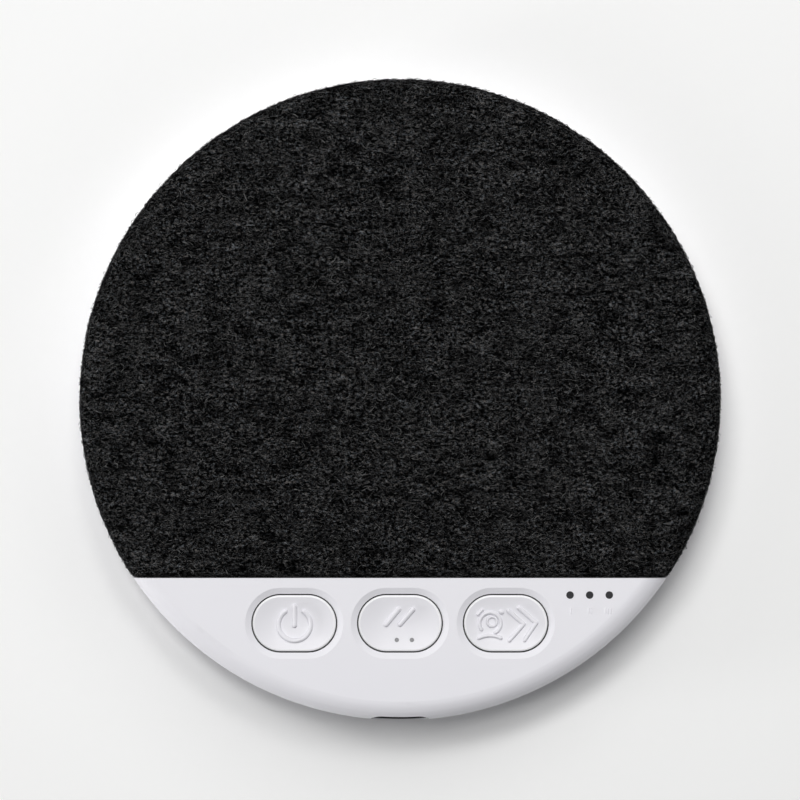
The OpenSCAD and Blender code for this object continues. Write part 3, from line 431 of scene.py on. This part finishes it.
finishes = {
    "white_shell": shell_plastic(),
    "key_caps": key_plastic(),
    "black_plastic": moulded("black moulded plastic", (0.022, 0.022, 0.023), 0.5, 0.15, 0.2, 0.006),
    "rubber": moulded("soft grey-black rubber", (0.03, 0.03, 0.031), 0.72, 0.2, 0.22, 0.012),
    "chip": moulded("black chip package", (0.02, 0.02, 0.021), 0.55, 0.2, 0.1, 0.006),
    "tape": moulded("white foam tape", (0.72, 0.72, 0.68), 0.7, 0.05, 0.5, 0.03),
    "connector": moulded("natural nylon", (0.76, 0.73, 0.62), 0.38, 0.05, 0.3, 0.006),
    "red_wire": moulded("red insulation", (0.48, 0.018, 0.016), 0.34, 0.12, 0.4, 0.01),
    "black_wire": moulded("black insulation", (0.016, 0.016, 0.017), 0.34, 0.2, 0.4, 0.01),
    "screws": rolled_metal("zinc-plated steel", (0.62, 0.62, 0.63), 0.3, (6.0, 6.0, 1.0), 0.004),
    "stainless": rolled_metal("bright stainless sheet", (0.62, 0.61, 0.6), 0.24),
    "driver_steel": rolled_metal("dark plated steel", (0.2, 0.2, 0.21), 0.38, (4.0, 4.0, 4.0), 0.006),
    "bright_parts": rolled_metal("tinned parts", (0.62, 0.58, 0.52), 0.34, (3.0, 3.0, 3.0), 0.006),
    "copper": wound_copper(),
    "cone_paper": pressed_pulp(),
    "board": solder_mask(),
    "foil": foil(),
    "foam": open_foam("dark open-cell foam", (0.02, 0.02, 0.022), (0.12, 0.12, 0.125), 0.45),
    "clear_lens": smoked_lens(),
    "led": diode(),
    "felt": felted_knit(MAP_SPAN),
}
guide_finish = guide_plastic()
strand_finish = strand_wool()

for part in frame["record"]["subparts"]:
    finish = finishes[part["material_slot"]]
    if part["node"] == "play_light_guides":
        finish = guide_finish
    data = nodes[part["node"]].data
    data.materials.clear()
    data.materials.append(finish)


# Meshes.


def piece(name, points, blocks, finish, body="housing", flat_map=None):
    """A smooth piece at the origin, from points in millimetres and blocks of faces of one kind each."""
    corners = np.concatenate([block.ravel() for block in blocks]).astype(np.int32)
    sizes = np.concatenate([np.full(len(block), block.shape[1]) for block in blocks])
    starts = np.concatenate([[0], np.cumsum(sizes)[:-1]]).astype(np.int32)
    mesh = bpy.data.meshes.new(name)
    mesh.vertices.add(len(points))
    mesh.vertices.foreach_set("co", (points * MM).astype(np.float32).ravel())
    mesh.loops.add(len(corners))
    mesh.loops.foreach_set("vertex_index", corners)
    mesh.polygons.add(len(sizes))
    mesh.polygons.foreach_set("loop_start", starts)
    mesh.polygons.foreach_set("use_smooth", np.full(len(sizes), True))
    mesh.update(calc_edges=True)
    if flat_map is not None:
        layer = mesh.uv_layers.new(name=MAP_NAME)
        layer.uv.foreach_set("vector", flat_map[corners].astype(np.float32).ravel())
    mesh.materials.append(finish)
    made = bpy.data.objects.new(name, mesh)
    bpy.context.scene.collection.objects.link(made)
    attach(made, body)
    return made


def between(first, second, n_first, n_second):
    """Faces between two rings that have equal numbers of points, twice as many, half as many or one."""
    near = np.arange(n_first)
    ahead = (near + 1) % n_first
    if n_first == 1:
        ring = np.arange(n_second)
        return [np.stack([0 * ring + first, second + ring, second + (ring + 1) % n_second], 1)]
    if n_second == 1:
        return [np.stack([first + near, 0 * near + second, first + ahead], 1)]
    if n_first == n_second:
        return [np.stack([first + near, second + near, second + ahead, first + ahead], 1)]
    if n_second == 2 * n_first:
        a, b = first + near, first + ahead
        f0, f1, f2 = second + 2 * near, second + 2 * near + 1, second + 2 * ahead
        return [np.concatenate([np.stack(t, 1) for t in ((a, f0, f1), (a, f1, b), (b, f1, f2))])]
    near, ahead = np.arange(n_second), (np.arange(n_second) + 1) % n_second
    f0, f1, f2 = first + 2 * near, first + 2 * near + 1, first + 2 * ahead
    a, b = second + near, second + ahead
    return [np.concatenate([np.stack(t, 1) for t in ((f0, a, f1), (f1, a, b), (f1, b, f2))])]


def skin(rings):
    """All points and faces of a closed skin whose rings go from its top middle, out, down and back in."""
    starts = np.concatenate([[0], np.cumsum([len(ring) for ring in rings])])
    triangles, quads = [], []
    for index in range(len(rings) - 1):
        sizes = len(rings[index]), len(rings[index + 1])
        for block in between(starts[index], starts[index + 1], *sizes):
            (quads if block.shape[1] == 4 else triangles).append(block)
    return np.concatenate(rings), [np.concatenate(triangles), np.concatenate(quads)]


def lattice_noise(x, y, cell, seed):
    """Values from -1 to 1 at the corners of square cells, joined smoothly between the corners."""
    size = LATTICE_SIZE
    table = np.random.default_rng(seed).uniform(-1, 1, (size, size))
    u, v = x / cell, y / cell
    i, j = np.floor(u).astype(int), np.floor(v).astype(int)
    s, t = u - i, v - j
    s, t = s * s * (3 - 2 * s), t * t * (3 - 2 * t)
    i0, i1, j0, j1 = i % size, (i + 1) % size, j % size, (j + 1) % size
    low = table[i0, j0] * (1 - s) + table[i1, j0] * s
    high = table[i0, j1] * (1 - s) + table[i1, j1] * s
    return low * (1 - t) + high * t


# The padded cloth top.


class Edge:
    """A padded edge in section: level, then a wide arc, then a small arc that ends in an upright wall."""

    def __init__(self, reach, top, ease_w, ease_r, round_r):
        self.reach, self.top, self.round_r, self.ease_r, self.ease_w = reach, top, round_r, ease_r, ease_w
        self.tilt = math.asin((ease_w - round_r) / (ease_r - round_r))
        self.level_end = reach - ease_w
        self.round_z = top - ease_r + (ease_r - round_r) * math.cos(self.tilt)
        self.ease_l = ease_r * self.tilt
        self.round_l = round_r * (math.pi / 2 - self.tilt)

    def inset(self, t):
        return Edge(self.reach - t, self.top - t, self.ease_w - t, self.ease_r - t, self.round_r - t)

    def out(self, z):
        """How far out the surface is at height z, and the cloth's length to there from the level's end."""
        join_z = self.round_z + self.round_r * math.cos(self.tilt)
        rise = np.clip((self.top - z) / self.ease_r, 0, 1)
        wide = np.arccos(1 - rise)
        small = np.arccos(np.clip((z - self.round_z) / self.round_r, 0, 1))
        wide_out = self.level_end + self.ease_r * np.sin(wide)
        small_out = self.reach - self.round_r + self.round_r * np.sin(small)
        wall = np.maximum(self.round_z - z, 0)
        small_l = self.ease_l + self.round_r * (small - self.tilt) + wall
        high = z >= join_z
        return np.where(high, wide_out, small_out), np.where(high, self.ease_r * wide, small_l)

    def along(self, s):
        """Out, height and lean of the surface at s millimetres of cloth past the end of its level part."""
        wide = np.clip(s, 0, self.ease_l) / self.ease_r
        small = self.tilt + np.clip(s - self.ease_l, 0, self.round_l) / self.round_r
        wall = np.maximum(s - self.ease_l - self.round_l, 0)
        in_wide = s < self.ease_l
        out = np.where(
            in_wide,
            self.level_end + self.ease_r * np.sin(wide),
            self.reach - self.round_r + self.round_r * np.sin(small),
        )
        z = np.where(
            in_wide,
            self.top - self.ease_r * (1 - np.cos(wide)),
            self.round_z + self.round_r * np.cos(small) - wall,
        )
        return out + np.minimum(s, 0), z, np.where(in_wide, wide, small)


# The cover: its top, its thickness, where it ends on the rim and at the straight cut, and its two edges.
TOP_Z = 14.0
CLOTH_T = 1.0
HEM_Z = 7.7
FLAP_Z = 10.55
RIM = Edge(50.0, TOP_Z, 7.0, 20.0, 3.0)
CUT = Edge(27.6, TOP_Z, 4.0, 12.0, 1.4)

# The middle of its level rings, how far its walls are drawn in, and its gap to the foam.
MIDDLE_Y = 8.0
WALL_TUCK = 0.1
FOAM_GAP = 0.06

# How many points a ring has along the rim's arc, and along the straight cut.
RING_ARC = 692
RING_CUT = 268

# Fibres start on the flat cloth: within this far of its middle, and this far towards the cut. Then how far
# their ends may reach, in the same two ways.
SPOT_REACH = 54.4
SPOT_CUT = 29.95
FIBRE_REACH = 54.5
FIBRE_CUT = 30.05


def cut_ring(radius, cut, z, n_arc, n_cut):
    """Points once round a disc cut off straight at y = -cut: along its arc, then back along its cut."""
    corner = math.asin(cut / radius)
    turn = np.linspace(-corner, math.pi + corner, n_arc + 1)[:-1]
    half = radius * math.cos(corner)
    x = np.linspace(-half, half, n_cut + 1)[:-1]
    return np.concatenate([
        np.stack([radius * np.cos(turn), radius * np.sin(turn), 0 * turn + z], 1),
        np.stack([x, 0 * x - cut, 0 * x + z], 1),
    ])


def padded_rings(rim, cut, heights, n_arc, n_cut, reach=None):
    """Rings down a padded edge, one for each height: where the rim and the cut stand at that height."""
    r, _ = rim.out(heights)
    c, _ = cut.out(heights)
    if reach:
        r, c = np.minimum(r, reach[0]), np.minimum(c, reach[1])
    return [cut_ring(*row, n_arc, n_cut) for row in zip(r, c, heights)]


def level_rings(edge_ring, shares):
    """Rings inside the edge of a level top: the edge's ring drawn in towards the middle by each share."""
    middle = np.array([0, MIDDLE_Y, edge_ring[0, 2]])
    return [middle[None] if share == 0 else middle + share * (edge_ring - middle) for share in shares]


def to_wall(rings, start_z, hems):
    """Turns the rings below start_z into a wall that goes evenly down to each point's own hem."""
    low = [index for index, ring in enumerate(rings) if ring[0, 2] < start_z]
    lowest = rings[-1][0, 2]
    for index in low:
        share = (start_z - rings[index][0, 2]) / (start_z - lowest)
        rings[index][:, 2] = start_z + (hems - start_z) * share
    return rings


def flat_of(points, rim, cut):
    """Where each point of the cover lies on the flat cloth, which isn't folded down at its edges."""
    away = np.hypot(points[:, 0], points[:, 1])
    _, past_rim = rim.out(points[:, 2])
    cut_out, past_cut = cut.out(points[:, 2])
    on_rim = away > rim.level_end + 0.01
    on_cut = (-points[:, 1] > cut.level_end + 0.01) & (points[:, 2] > FLAP_Z - 0.01)
    by_rim = points[:, :2] * ((rim.level_end + past_rim) / np.maximum(away, 1e-6))[:, None]
    flat = np.where(on_rim[:, None], by_rim, points[:, :2])
    nearer = on_cut & (np.abs(-points[:, 1] - cut_out) < 0.02)
    flat[nearer, 0] = points[nearer, 0]
    flat[nearer, 1] = -(cut.level_end + past_cut[nearer])
    return flat


def normals_of(points, blocks):
    """A direction for each point: the sum of the directions of its faces, made one long."""
    total = np.zeros_like(points)
    for block in blocks:
        a, b, c = points[block[:, 0]], points[block[:, 1]], points[block[:, 2]]
        facing = np.cross(b - a, c - a)
        for corner in block.T:
            np.add.at(total, corner, facing)
    return total / np.maximum(np.linalg.norm(total, axis=1, keepdims=True), 1e-12)


def cover_piece():
    """The cloth: its outside follows the padded edges, and its inside lies one thickness under it.

    The rings stand at falling heights, so that rim and cut meet in a clean line at both corners. The
    outside is then moved along its normals by soft noise: slow swells of the padding and small clumps.
    """
    n_arc, n_cut = RING_ARC, RING_CUT
    ease = TOP_Z - (np.linspace(0, 1, 13) ** 2) * RIM.ease_r * (1 - math.cos(RIM.tilt))
    round_turn = np.linspace(RIM.tilt, math.pi / 2, 15)[1:]
    rounded = RIM.round_z + RIM.round_r * np.cos(round_turn)
    rounded = np.sort(np.append(rounded, CUT.round_z))[::-1]
    wall = np.linspace(RIM.round_z, HEM_Z, 9)[1:]
    heights = np.concatenate([ease, rounded, wall])
    outer = padded_rings(RIM, CUT, heights, n_arc, n_cut)
    count = n_arc + n_cut
    inside_rim = np.hypot(outer[-1][:, 0], outer[-1][:, 1]) < RIM.reach - CLOTH_T
    hems = np.where((np.arange(count) > n_arc) & inside_rim, FLAP_Z, HEM_Z)
    outer = to_wall(outer, CUT.round_z - 0.9, hems)
    # On the level top the rings have half the edge's points, and a quarter of them inside this share.
    close = 0.42
    shares_wide = np.linspace(1, close, 56)[1:]
    shares_close = np.linspace(close, 0, 36)[1:]
    half = outer[0][::2]
    top = level_rings(half[::2], shares_close[::-1]) + level_rings(half, shares_wide[::-1])
    lining_rim, lining_cut = RIM.inset(CLOTH_T), CUT.inset(CLOTH_T)
    small_turn = np.linspace(0, math.pi / 2 - lining_rim.tilt, 6)[1:]
    wide_drop = lining_rim.ease_r * (1 - math.cos(lining_rim.tilt))
    inner_heights = np.concatenate([
        np.linspace(HEM_Z, lining_rim.round_z, 5),
        lining_rim.round_z + lining_rim.round_r * np.sin(small_turn),
        TOP_Z - CLOTH_T - (np.linspace(1, 0, 5)[1:] ** 2) * wide_drop,
    ])
    inner = padded_rings(lining_rim, lining_cut, inner_heights[::-1], n_arc, n_cut)
    inner_hems = np.where(np.arange(count) > n_arc, FLAP_Z, HEM_Z)
    inner = to_wall(inner, lining_cut.round_z - 0.4, inner_hems)[::-1]
    under_half = inner[-1][::2]
    under = level_rings(under_half, [0.8]) + level_rings(under_half[::2], [0.55])
    under += level_rings(under_half[::4], [0.3]) + [under[-1][:1] * 0 + [0, MIDDLE_Y, TOP_Z - CLOTH_T]]
    rings = top + outer + inner + under
    points, blocks = skin(rings)
    outside = np.arange(len(points)) < sum(len(ring) for ring in top + outer)
    flat = flat_of(points, RIM, CUT)
    u, v = flat.T
    swell = lattice_noise(u, v, 7.0, 11) * 0.05 + lattice_noise(u, v, 2.6, 12) * 0.035
    clumps = lattice_noise(u, v, 1.1, 13) * 0.03 + lattice_noise(u, v, 0.62, 14) * 0.035
    facing = normals_of(points, blocks)
    held_in = 0.02 + WALL_TUCK * (1 - facing[:, 2])
    points = points + facing * ((swell + clumps - held_in) * outside)[:, None]
    flat_map = flat / (MAP_SPAN / MM) + 0.5
    return piece("felt_cover", points, blocks, finishes["felt"], flat_map=flat_map)


def on_cloth(u, v, lift):
    """The place over a point of the flat cloth: folded down over the rim and over the cut, then lifted."""
    away = np.maximum(np.hypot(u, v), 1e-6)
    out, z_rim, lean_rim = RIM.along(away - RIM.level_end)
    way = np.stack([u / away, v / away], -1)
    y_plan = way[..., 1] * out
    out_cut, z_cut, lean_cut = CUT.along(-y_plan - CUT.level_end)
    by_rim = z_rim < z_cut
    lean = np.where(by_rim, lean_rim, lean_cut)
    over = np.where(by_rim[..., None], way, [0.0, -1.0])
    place = np.stack([way[..., 0] * out, -out_cut, np.minimum(z_rim, z_cut)], -1)
    normal = np.concatenate([over * np.sin(lean)[..., None], np.cos(lean)[..., None]], -1)
    lift = lift - WALL_TUCK * (1 - np.cos(lean))
    return place + normal * lift[..., None], normal


def strand_piece(name, count, seed, light, spread, thick, flyaway):
    """Loose curly fibres in the cover's surface: threads with three sides that bow up and bend sideways.

    Each starts at a seeded spot of the flat cloth, more often along a course and in a clump, heads mostly
    along the courses, turns steadily by its own curl and rises and falls as half a sine. Its rings are
    triangles about its path, and both its ends run to a point.
    """
    rng = np.random.default_rng(seed)
    rings = 3
    tries = count * 5
    u, v = rng.uniform(-SPOT_REACH, SPOT_REACH, tries), rng.uniform(-SPOT_CUT, SPOT_REACH, tries)
    clump = lattice_noise(u, v, 0.8, 21) * 0.5 + lattice_noise(u, v, 3.0, 22) * 0.3
    course = np.cos(2 * np.pi * v / COURSE) * 0.35
    chance = clump * spread + course + rng.uniform(-0.7, 0.7, tries)
    kept = (np.hypot(u, v) < SPOT_REACH) & (chance > 0.05)
    spots = np.flatnonzero(kept)[:count]
    u, v, count = u[spots], v[spots], len(spots)
    # Lengths in millimetres, headings in radians, and curls in radians a millimetre.
    long = np.clip(rng.gamma(5.0, 0.2, count), 0.4, 2.0)
    heading = rng.normal(0, 0.6, count)
    curl = rng.normal(0, 1.5, count)
    t = np.linspace(0, 1, rings + 2)
    turn = heading[:, None] + (curl * long)[:, None] * (t - 0.5)
    step = (long / (rings + 1))[:, None]
    x = np.cumsum(np.cos(turn) * step, 1)
    y = np.cumsum(np.sin(turn) * step, 1)
    x, y = x - x.mean(1, keepdims=True), y - y.mean(1, keepdims=True)
    bow = rng.gamma(2.0, 0.045, count)[:, None] * np.sin(np.pi * t)
    free = (rng.uniform(0, 1, count) < flyaway) * rng.uniform(0.1, 0.42, count)
    lift = bow + free[:, None] * t ** 1.5 - 0.01
    uu = np.clip(u[:, None] + x, -FIBRE_REACH, FIBRE_REACH)
    vv = np.maximum(v[:, None] + y, -FIBRE_CUT)
    path, normal = on_cloth(uu, vv, lift)
    heading3 = np.gradient(path, axis=1)
    side = np.cross(heading3, normal)
    side /= np.maximum(np.linalg.norm(side, axis=-1, keepdims=True), 1e-9)
    wide = thick * rng.uniform(0.7, 1.3, count)[:, None] * (1 - 0.45 * np.abs(2 * t - 1))
    angle = np.arange(3) * 2 * np.pi / 3 + np.pi / 6
    ring = (
        side[:, 1:-1, None] * np.cos(angle)[:, None] + normal[:, 1:-1, None] * np.sin(angle)[:, None]
    ) * wide[:, 1:-1, None, None]
    body = (path[:, 1:-1, None] + ring).reshape(count, -1, 3)
    points = np.concatenate([path[:, :1], body, path[:, -1:]], 1)
    per = points.shape[1]
    sides = np.arange(3)
    nexts = (sides + 1) % 3
    first = np.stack([0 * sides, 1 + sides, 1 + nexts], 1)
    last = np.stack([0 * sides + per - 1, per - 4 + nexts, per - 4 + sides], 1)
    bands = [
        np.stack([1 + 3 * k + sides, 4 + 3 * k + sides, 4 + 3 * k + nexts, 1 + 3 * k + nexts], 1)
        for k in range(rings - 1)
    ]
    offsets = (np.arange(count) * per)[:, None, None]
    tips = (np.concatenate([first, last]) + offsets).reshape(-1, 3)
    quads = (np.concatenate(bands) + offsets).reshape(-1, 4)
    tone = np.clip(light + rng.normal(0, 0.16, count), 0.02, 0.94)
    across = np.concatenate([[0.5], np.tile([0, 0.5, 1], rings), [0.5]]) * 0.03
    along = np.concatenate([[0], np.repeat(t[1:-1], 3), [1]])
    flat_map = np.stack([tone[:, None] + across, np.broadcast_to(along, (count, per))], -1).reshape(-1, 2)
    return piece(name, points.reshape(-1, 3), [tips, quads], strand_finish, flat_map=flat_map)


def foam_piece():
    """The foam pad: a skin just under the cloth's lining, cut off upright where the carrier ends."""
    low, high = (np.array(corner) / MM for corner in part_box("foam_pad"))
    reach = high[0], -low[1]
    rim, cut = RIM.inset(CLOTH_T + FOAM_GAP), CUT.inset(CLOTH_T + FOAM_GAP)
    bottom = low[2]
    heights = np.concatenate([
        rim.top - (np.linspace(0, 1, 9) ** 2) * (rim.top - bottom) * 0.5,
        np.linspace((rim.top + bottom) / 2, bottom, 6)[1:],
    ])
    edge = padded_rings(rim, cut, heights, RING_ARC // 2, RING_CUT // 2, reach)
    top = level_rings(edge[0][::2], np.linspace(0, 0.9, 24))
    top += level_rings(edge[0], [0.95])
    under = level_rings(edge[-1], [0.7]) + level_rings(edge[-1][::2], [0.4, 0])
    points, blocks = skin(top + edge + under)
    facing = normals_of(points, blocks)
    soft = lattice_noise(points[:, 0], points[:, 1], 1.6, 31) * 0.02 - 0.02
    points = points + facing * soft[:, None]
    return piece("foam_pad_soft", points, blocks, finishes["foam"])


cover = cover_piece()
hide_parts("cloth_cover")
foam = foam_piece()
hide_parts("foam_pad")

strands = [
    strand_piece("felt_fibres_black", 10800, 101, 0.08, 0.5, 0.046, 0.05),
    strand_piece("felt_fibres_dark", 10800, 102, 0.28, 1.0, 0.043, 0.05),
    strand_piece("felt_fibres_grey_a", 10800, 103, 0.36, 1.3, 0.041, 0.06),
    strand_piece("felt_fibres_grey_b", 10800, 104, 0.42, 1.5, 0.038, 0.06),
    strand_piece("felt_fibres_light", 7000, 105, 0.62, 1.8, 0.034, 0.08),
]


# The snap domes.


def soft_dome(side):
    """A key's snap dome, as a smooth piece in its CAD shape."""
    name = f"{side}_dome"
    data = nodes[name].data
    corners = np.array([corner.co for corner in data.vertices]) / MM
    faces = np.array([face.vertices for face in data.polygons])
    points, which = np.unique(corners.round(5), axis=0, return_inverse=True)
    faces = which.ravel()[faces]
    faces = faces[(faces != np.roll(faces, 1, axis=1)).all(axis=1)]
    made = piece(f"{name}_soft", points, [faces], finishes["stainless"])
    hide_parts(name)
    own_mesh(made)


for side in ("power", "play", "timer"):
    soft_dome(side)


# Raised signs.

# A key's hollow top: its lowest height and the radius of its bowl. Then the deck's height, and how deep a
# sign's base is sunk.
DISH_LOW = 12.3
DISH_R = 20.957
DECK_Z = 13.0
SIGN_SINK = 0.06

# How close the points of a straight stroke may lie, and where the rows of a round end lie, in degrees.
LEAST_SPACING = 0.08
END_ROWS = [8, 24, 40, 56, 72]


def dish(key_x):
    """The height of a key's hollow top: a shallow bowl by the distance from the key's middle line."""

    def height(x, y):
        along = np.clip(x - key_x, -KEY_STRAIGHT / 2, KEY_STRAIGHT / 2)
        away = np.hypot(x - key_x - along, y - KEY_Y)
        return np.minimum(DISH_LOW + DISH_R - np.sqrt(DISH_R ** 2 - away ** 2), KEY_TOP)

    return height


def deck(x, y):
    """The deck is level: its height is the same at every x and y."""
    return 0 * (x + y) + DECK_Z


def arc(x, y, radius, start, end, steps):
    """Points on a circle from start to end, in degrees."""
    turn = np.radians(np.linspace(start, end, steps))
    return np.stack([x + radius * np.cos(turn), y + radius * np.sin(turn)], 1)


def line(start, end):
    """Points along a straight line, at the least spacing or a little more."""
    start, end = np.array(start, float), np.array(end, float)
    steps = max(2, int(np.hypot(*(end - start)) / LEAST_SPACING))
    leg = start + np.linspace(0, 1, steps, endpoint=False)[:, None] * (end - start)
    return np.concatenate([leg, end[None]])


def stroke(path, width, height, ground, across=11):
    """A raised line with round ends.

    Points fill the band that is nearer than half its width to the path. Each stands over the ground by
    height times the root of 1 less the square of its share of that half width, so it is round across.
    The base is sunk into the ground.
    """
    half = width / 2
    way = np.gradient(path, axis=0)
    way /= np.linalg.norm(way, axis=1, keepdims=True)
    cap = half * np.cos(np.radians(END_ROWS))
    starts = path[0] - cap[:, None] * way[0]
    ends = path[-1] + cap[::-1, None] * way[-1]
    middle = np.concatenate([starts, path, ends])
    ways = np.concatenate([np.repeat(way[:1], len(cap), 0), way, np.repeat(way[-1:], len(cap), 0)])
    past = np.concatenate([cap, np.zeros(len(path)), cap[::-1]])
    wide = np.sqrt(np.maximum(half ** 2 - past ** 2, 0))
    left = np.stack([-ways[:, 1], ways[:, 0]], 1)
    share = np.sin(np.linspace(-np.pi / 2, np.pi / 2, across))
    spots = middle[:, None] - left[:, None] * (wide[:, None] * share)[..., None]
    away = np.sqrt(past[:, None] ** 2 + (wide[:, None] * share) ** 2) / half
    rise = height * np.sqrt(np.maximum(1 - away ** 2, 0))
    x, y = spots[..., 0], spots[..., 1]
    base = ground(x, y)
    upper = np.stack([x, y, base + rise], -1)
    lower = np.stack([x, y, base - SIGN_SINK], -1)[:, [-1, 0]]
    loops = np.concatenate([upper, lower], 1)
    rows, per = loops.shape[:2]
    index = np.arange(rows * per).reshape(rows, per)
    ahead = np.roll(index, -1, 1)
    sides = np.stack([index[:-1], ahead[:-1], ahead[1:], index[1:]], -1).reshape(-1, 4)
    caps = np.stack([index[0][::-1], index[-1]])
    return loops.reshape(-1, 3), sides, caps


def sign(name, strokes, finish, body):
    """Several strokes as one piece."""
    points, sides, caps = zip(*strokes)
    starts = np.concatenate([[0], np.cumsum([len(p) for p in points])[:-1]])
    blocks = [np.concatenate([s + o for s, o in zip(group, starts)]) for group in (sides, caps)]
    return piece(name, np.concatenate(points), blocks, finish, body)


# Width and height of the strokes: of the power and play signs, of the arrows, and of the small clock.
SIGN_W = 0.84
SIGN_H = 0.46
ARROW_W = 0.68
ARROW_H = 0.42
CLOCK_W = 0.6
CLOCK_H = 0.38
key_finish = finishes["key_caps"]

power = dish(-KEY_PITCH)
sign(
    "power_sign",
    [
        stroke(arc(-16.4, -35.0, 2.5, 125, 415, 60), 0.76, SIGN_H, power),
        stroke(line((-16.4, -32.2), (-16.4, -35.1)), SIGN_W, SIGN_H, power),
    ],
    key_finish,
    "power_key_body",
)

play = dish(0.0)
sign(
    "play_sign",
    [
        stroke(line((-2.15, -34.98), (-0.22, -32.66)), SIGN_W, SIGN_H, play),
        stroke(line((0.02, -34.95), (1.98, -32.68)), SIGN_W, SIGN_H, play),
    ],
    key_finish,
    "play_key_body",
)

timer = dish(KEY_PITCH)
sign(
    "timer_sign",
    [
        stroke(line((16.9, -32.85), (19.25, -34.95)), ARROW_W, ARROW_H, timer),
        stroke(line((19.25, -34.95), (17.05, -37.45)), ARROW_W, ARROW_H, timer),
        stroke(line((18.5, -32.4), (21.2, -34.75)), ARROW_W, ARROW_H, timer),
        stroke(line((21.2, -34.75), (19.4, -37.4)), ARROW_W, ARROW_H, timer),
        stroke(arc(14.04, -34.8, 1.66, -60, 215, 60), CLOCK_W, CLOCK_H, timer),
        stroke(arc(14.33, -34.55, 0.74, 0, 359, 44), 0.46, 0.34, timer),
        stroke(line((12.15, -33.4), (12.8, -32.72)), 0.56, 0.36, timer),
        stroke(line((15.72, -33.0), (15.86, -33.08)), 0.76, CLOCK_H, timer),
        stroke(arc(14.0, -40.75, 4.05, 115, 65, 40), CLOCK_W, CLOCK_H, timer),
    ],
    key_finish,
    "timer_key_body",
)

tick_marks = [
    stroke(line((x + 0.42 * step, -33.25), (x + 0.42 * step, -32.5)), 0.24, 0.1, deck, across=5)
    for x, steps in ((26.6, (0,)), (29.56, (-0.5, 0.5)), (32.4, (-1, 0, 1)))
    for step in steps
]
sign("light_marks", tick_marks, finishes["white_shell"], "housing")


# Floor, light and camera.


def floor_finish():
    """A pale matt table top with a very faint tooth: a little darker near the middle and whiter away from
    it, as painted shade and painted light.
    """
    finish = Finish("pale matt table", {"Specular IOR Level": 0.1})
    tooth = finish.noise(1.5, detail=2.0)
    away = (finish.axis("X") ** 2 + finish.axis("Y") ** 2) ** 0.5
    # Painted shade near the middle, painted light away from it.
    near = finish.tint(tooth, (0.91, 0.91, 0.907), (0.92, 0.92, 0.917))
    far = finish.tint(tooth, (0.968, 0.969, 0.966), (0.978, 0.979, 0.976))
    return finish.paint(finish.tint(away.eased(44.0, 78.0), near, far), 0.9)


def floor_piece():
    """A flat square of table, far wider than the view."""
    reach = 3.0
    corners = [(-reach, -reach, 0), (reach, -reach, 0), (reach, reach, 0), (-reach, reach, 0)]
    mesh = bpy.data.meshes.new("table_top")
    mesh.from_pydata(corners, [], [(0, 1, 2, 3)])
    mesh.materials.append(floor_finish())
    made = bpy.data.objects.new("table_top", mesh)
    bpy.context.scene.collection.objects.link(made)


def lamp(name, azimuth, height, distance, radius, level):
    """A round soft lamp, faintly warm, in degrees and metres, that faces the origin.

    Its watts are worked out so that it lights a white table at the origin to this level: the level
    times pi squared times the distance squared, over the sine of its height.
    """
    turn, rise = math.radians(azimuth), math.radians(height)
    toward = Vector((math.cos(rise) * math.cos(turn), math.cos(rise) * math.sin(turn), math.sin(rise)))
    data = bpy.data.lights.new(name, "AREA")
    data.shape = "DISK"
    data.size = 2 * radius
    data.energy = level * (math.pi * distance) ** 2 / math.sin(rise)
    data.color = (1.0, 0.997, 0.99)
    made = bpy.data.objects.new(name, data)
    made.location = toward * distance
    made.rotation_mode = "QUATERNION"
    made.rotation_quaternion = toward.to_track_quat("Z", "Y")
    made.visible_camera = False
    bpy.context.scene.collection.objects.link(made)


floor_piece()
lamp("large_near_light", 68.0, 53.2, 0.5, 0.225, 0.262)
lamp("crisp_light", 83.3, 62.0, 0.9, 0.108, 0.133)
lamp("left_high_light", 122.2, 65.0, 1.8, 0.216, 0.198)
lamp("overhead_light", 115.1, 79.1, 1.8, 0.216, 0.183)
lamp("low_left_light", 195.0, 7.0, 0.4, 0.048, 0.051)

world = bpy.data.worlds.new("plain studio")
world.use_nodes = True
background = world.node_tree.nodes["Background"].inputs
background["Color"].default_value = (0.97, 0.98, 1.0, 1)
background["Strength"].default_value = 0.145
bpy.context.scene.world = world
bpy.context.scene.view_settings.view_transform = "Standard"

# The photograph looks straight down. Half its frame is 62.4 mm at the height of the rim's widest line. All
# of these are in metres.
CAMERA_Y = -0.00006
CAMERA_Z = 1.0
WIDEST_Z = 0.010
HALF_FRAME = 0.0624
camera = bpy.data.cameras.new("camera")
camera.sensor_width = 36
camera.lens = camera.sensor_width / 2 * (CAMERA_Z - WIDEST_Z) / HALF_FRAME
camera_object = bpy.data.objects.new("camera", camera)
camera_object.location = (0.0, CAMERA_Y, CAMERA_Z)
bpy.context.scene.collection.objects.link(camera_object)
bpy.context.scene.camera = camera_object
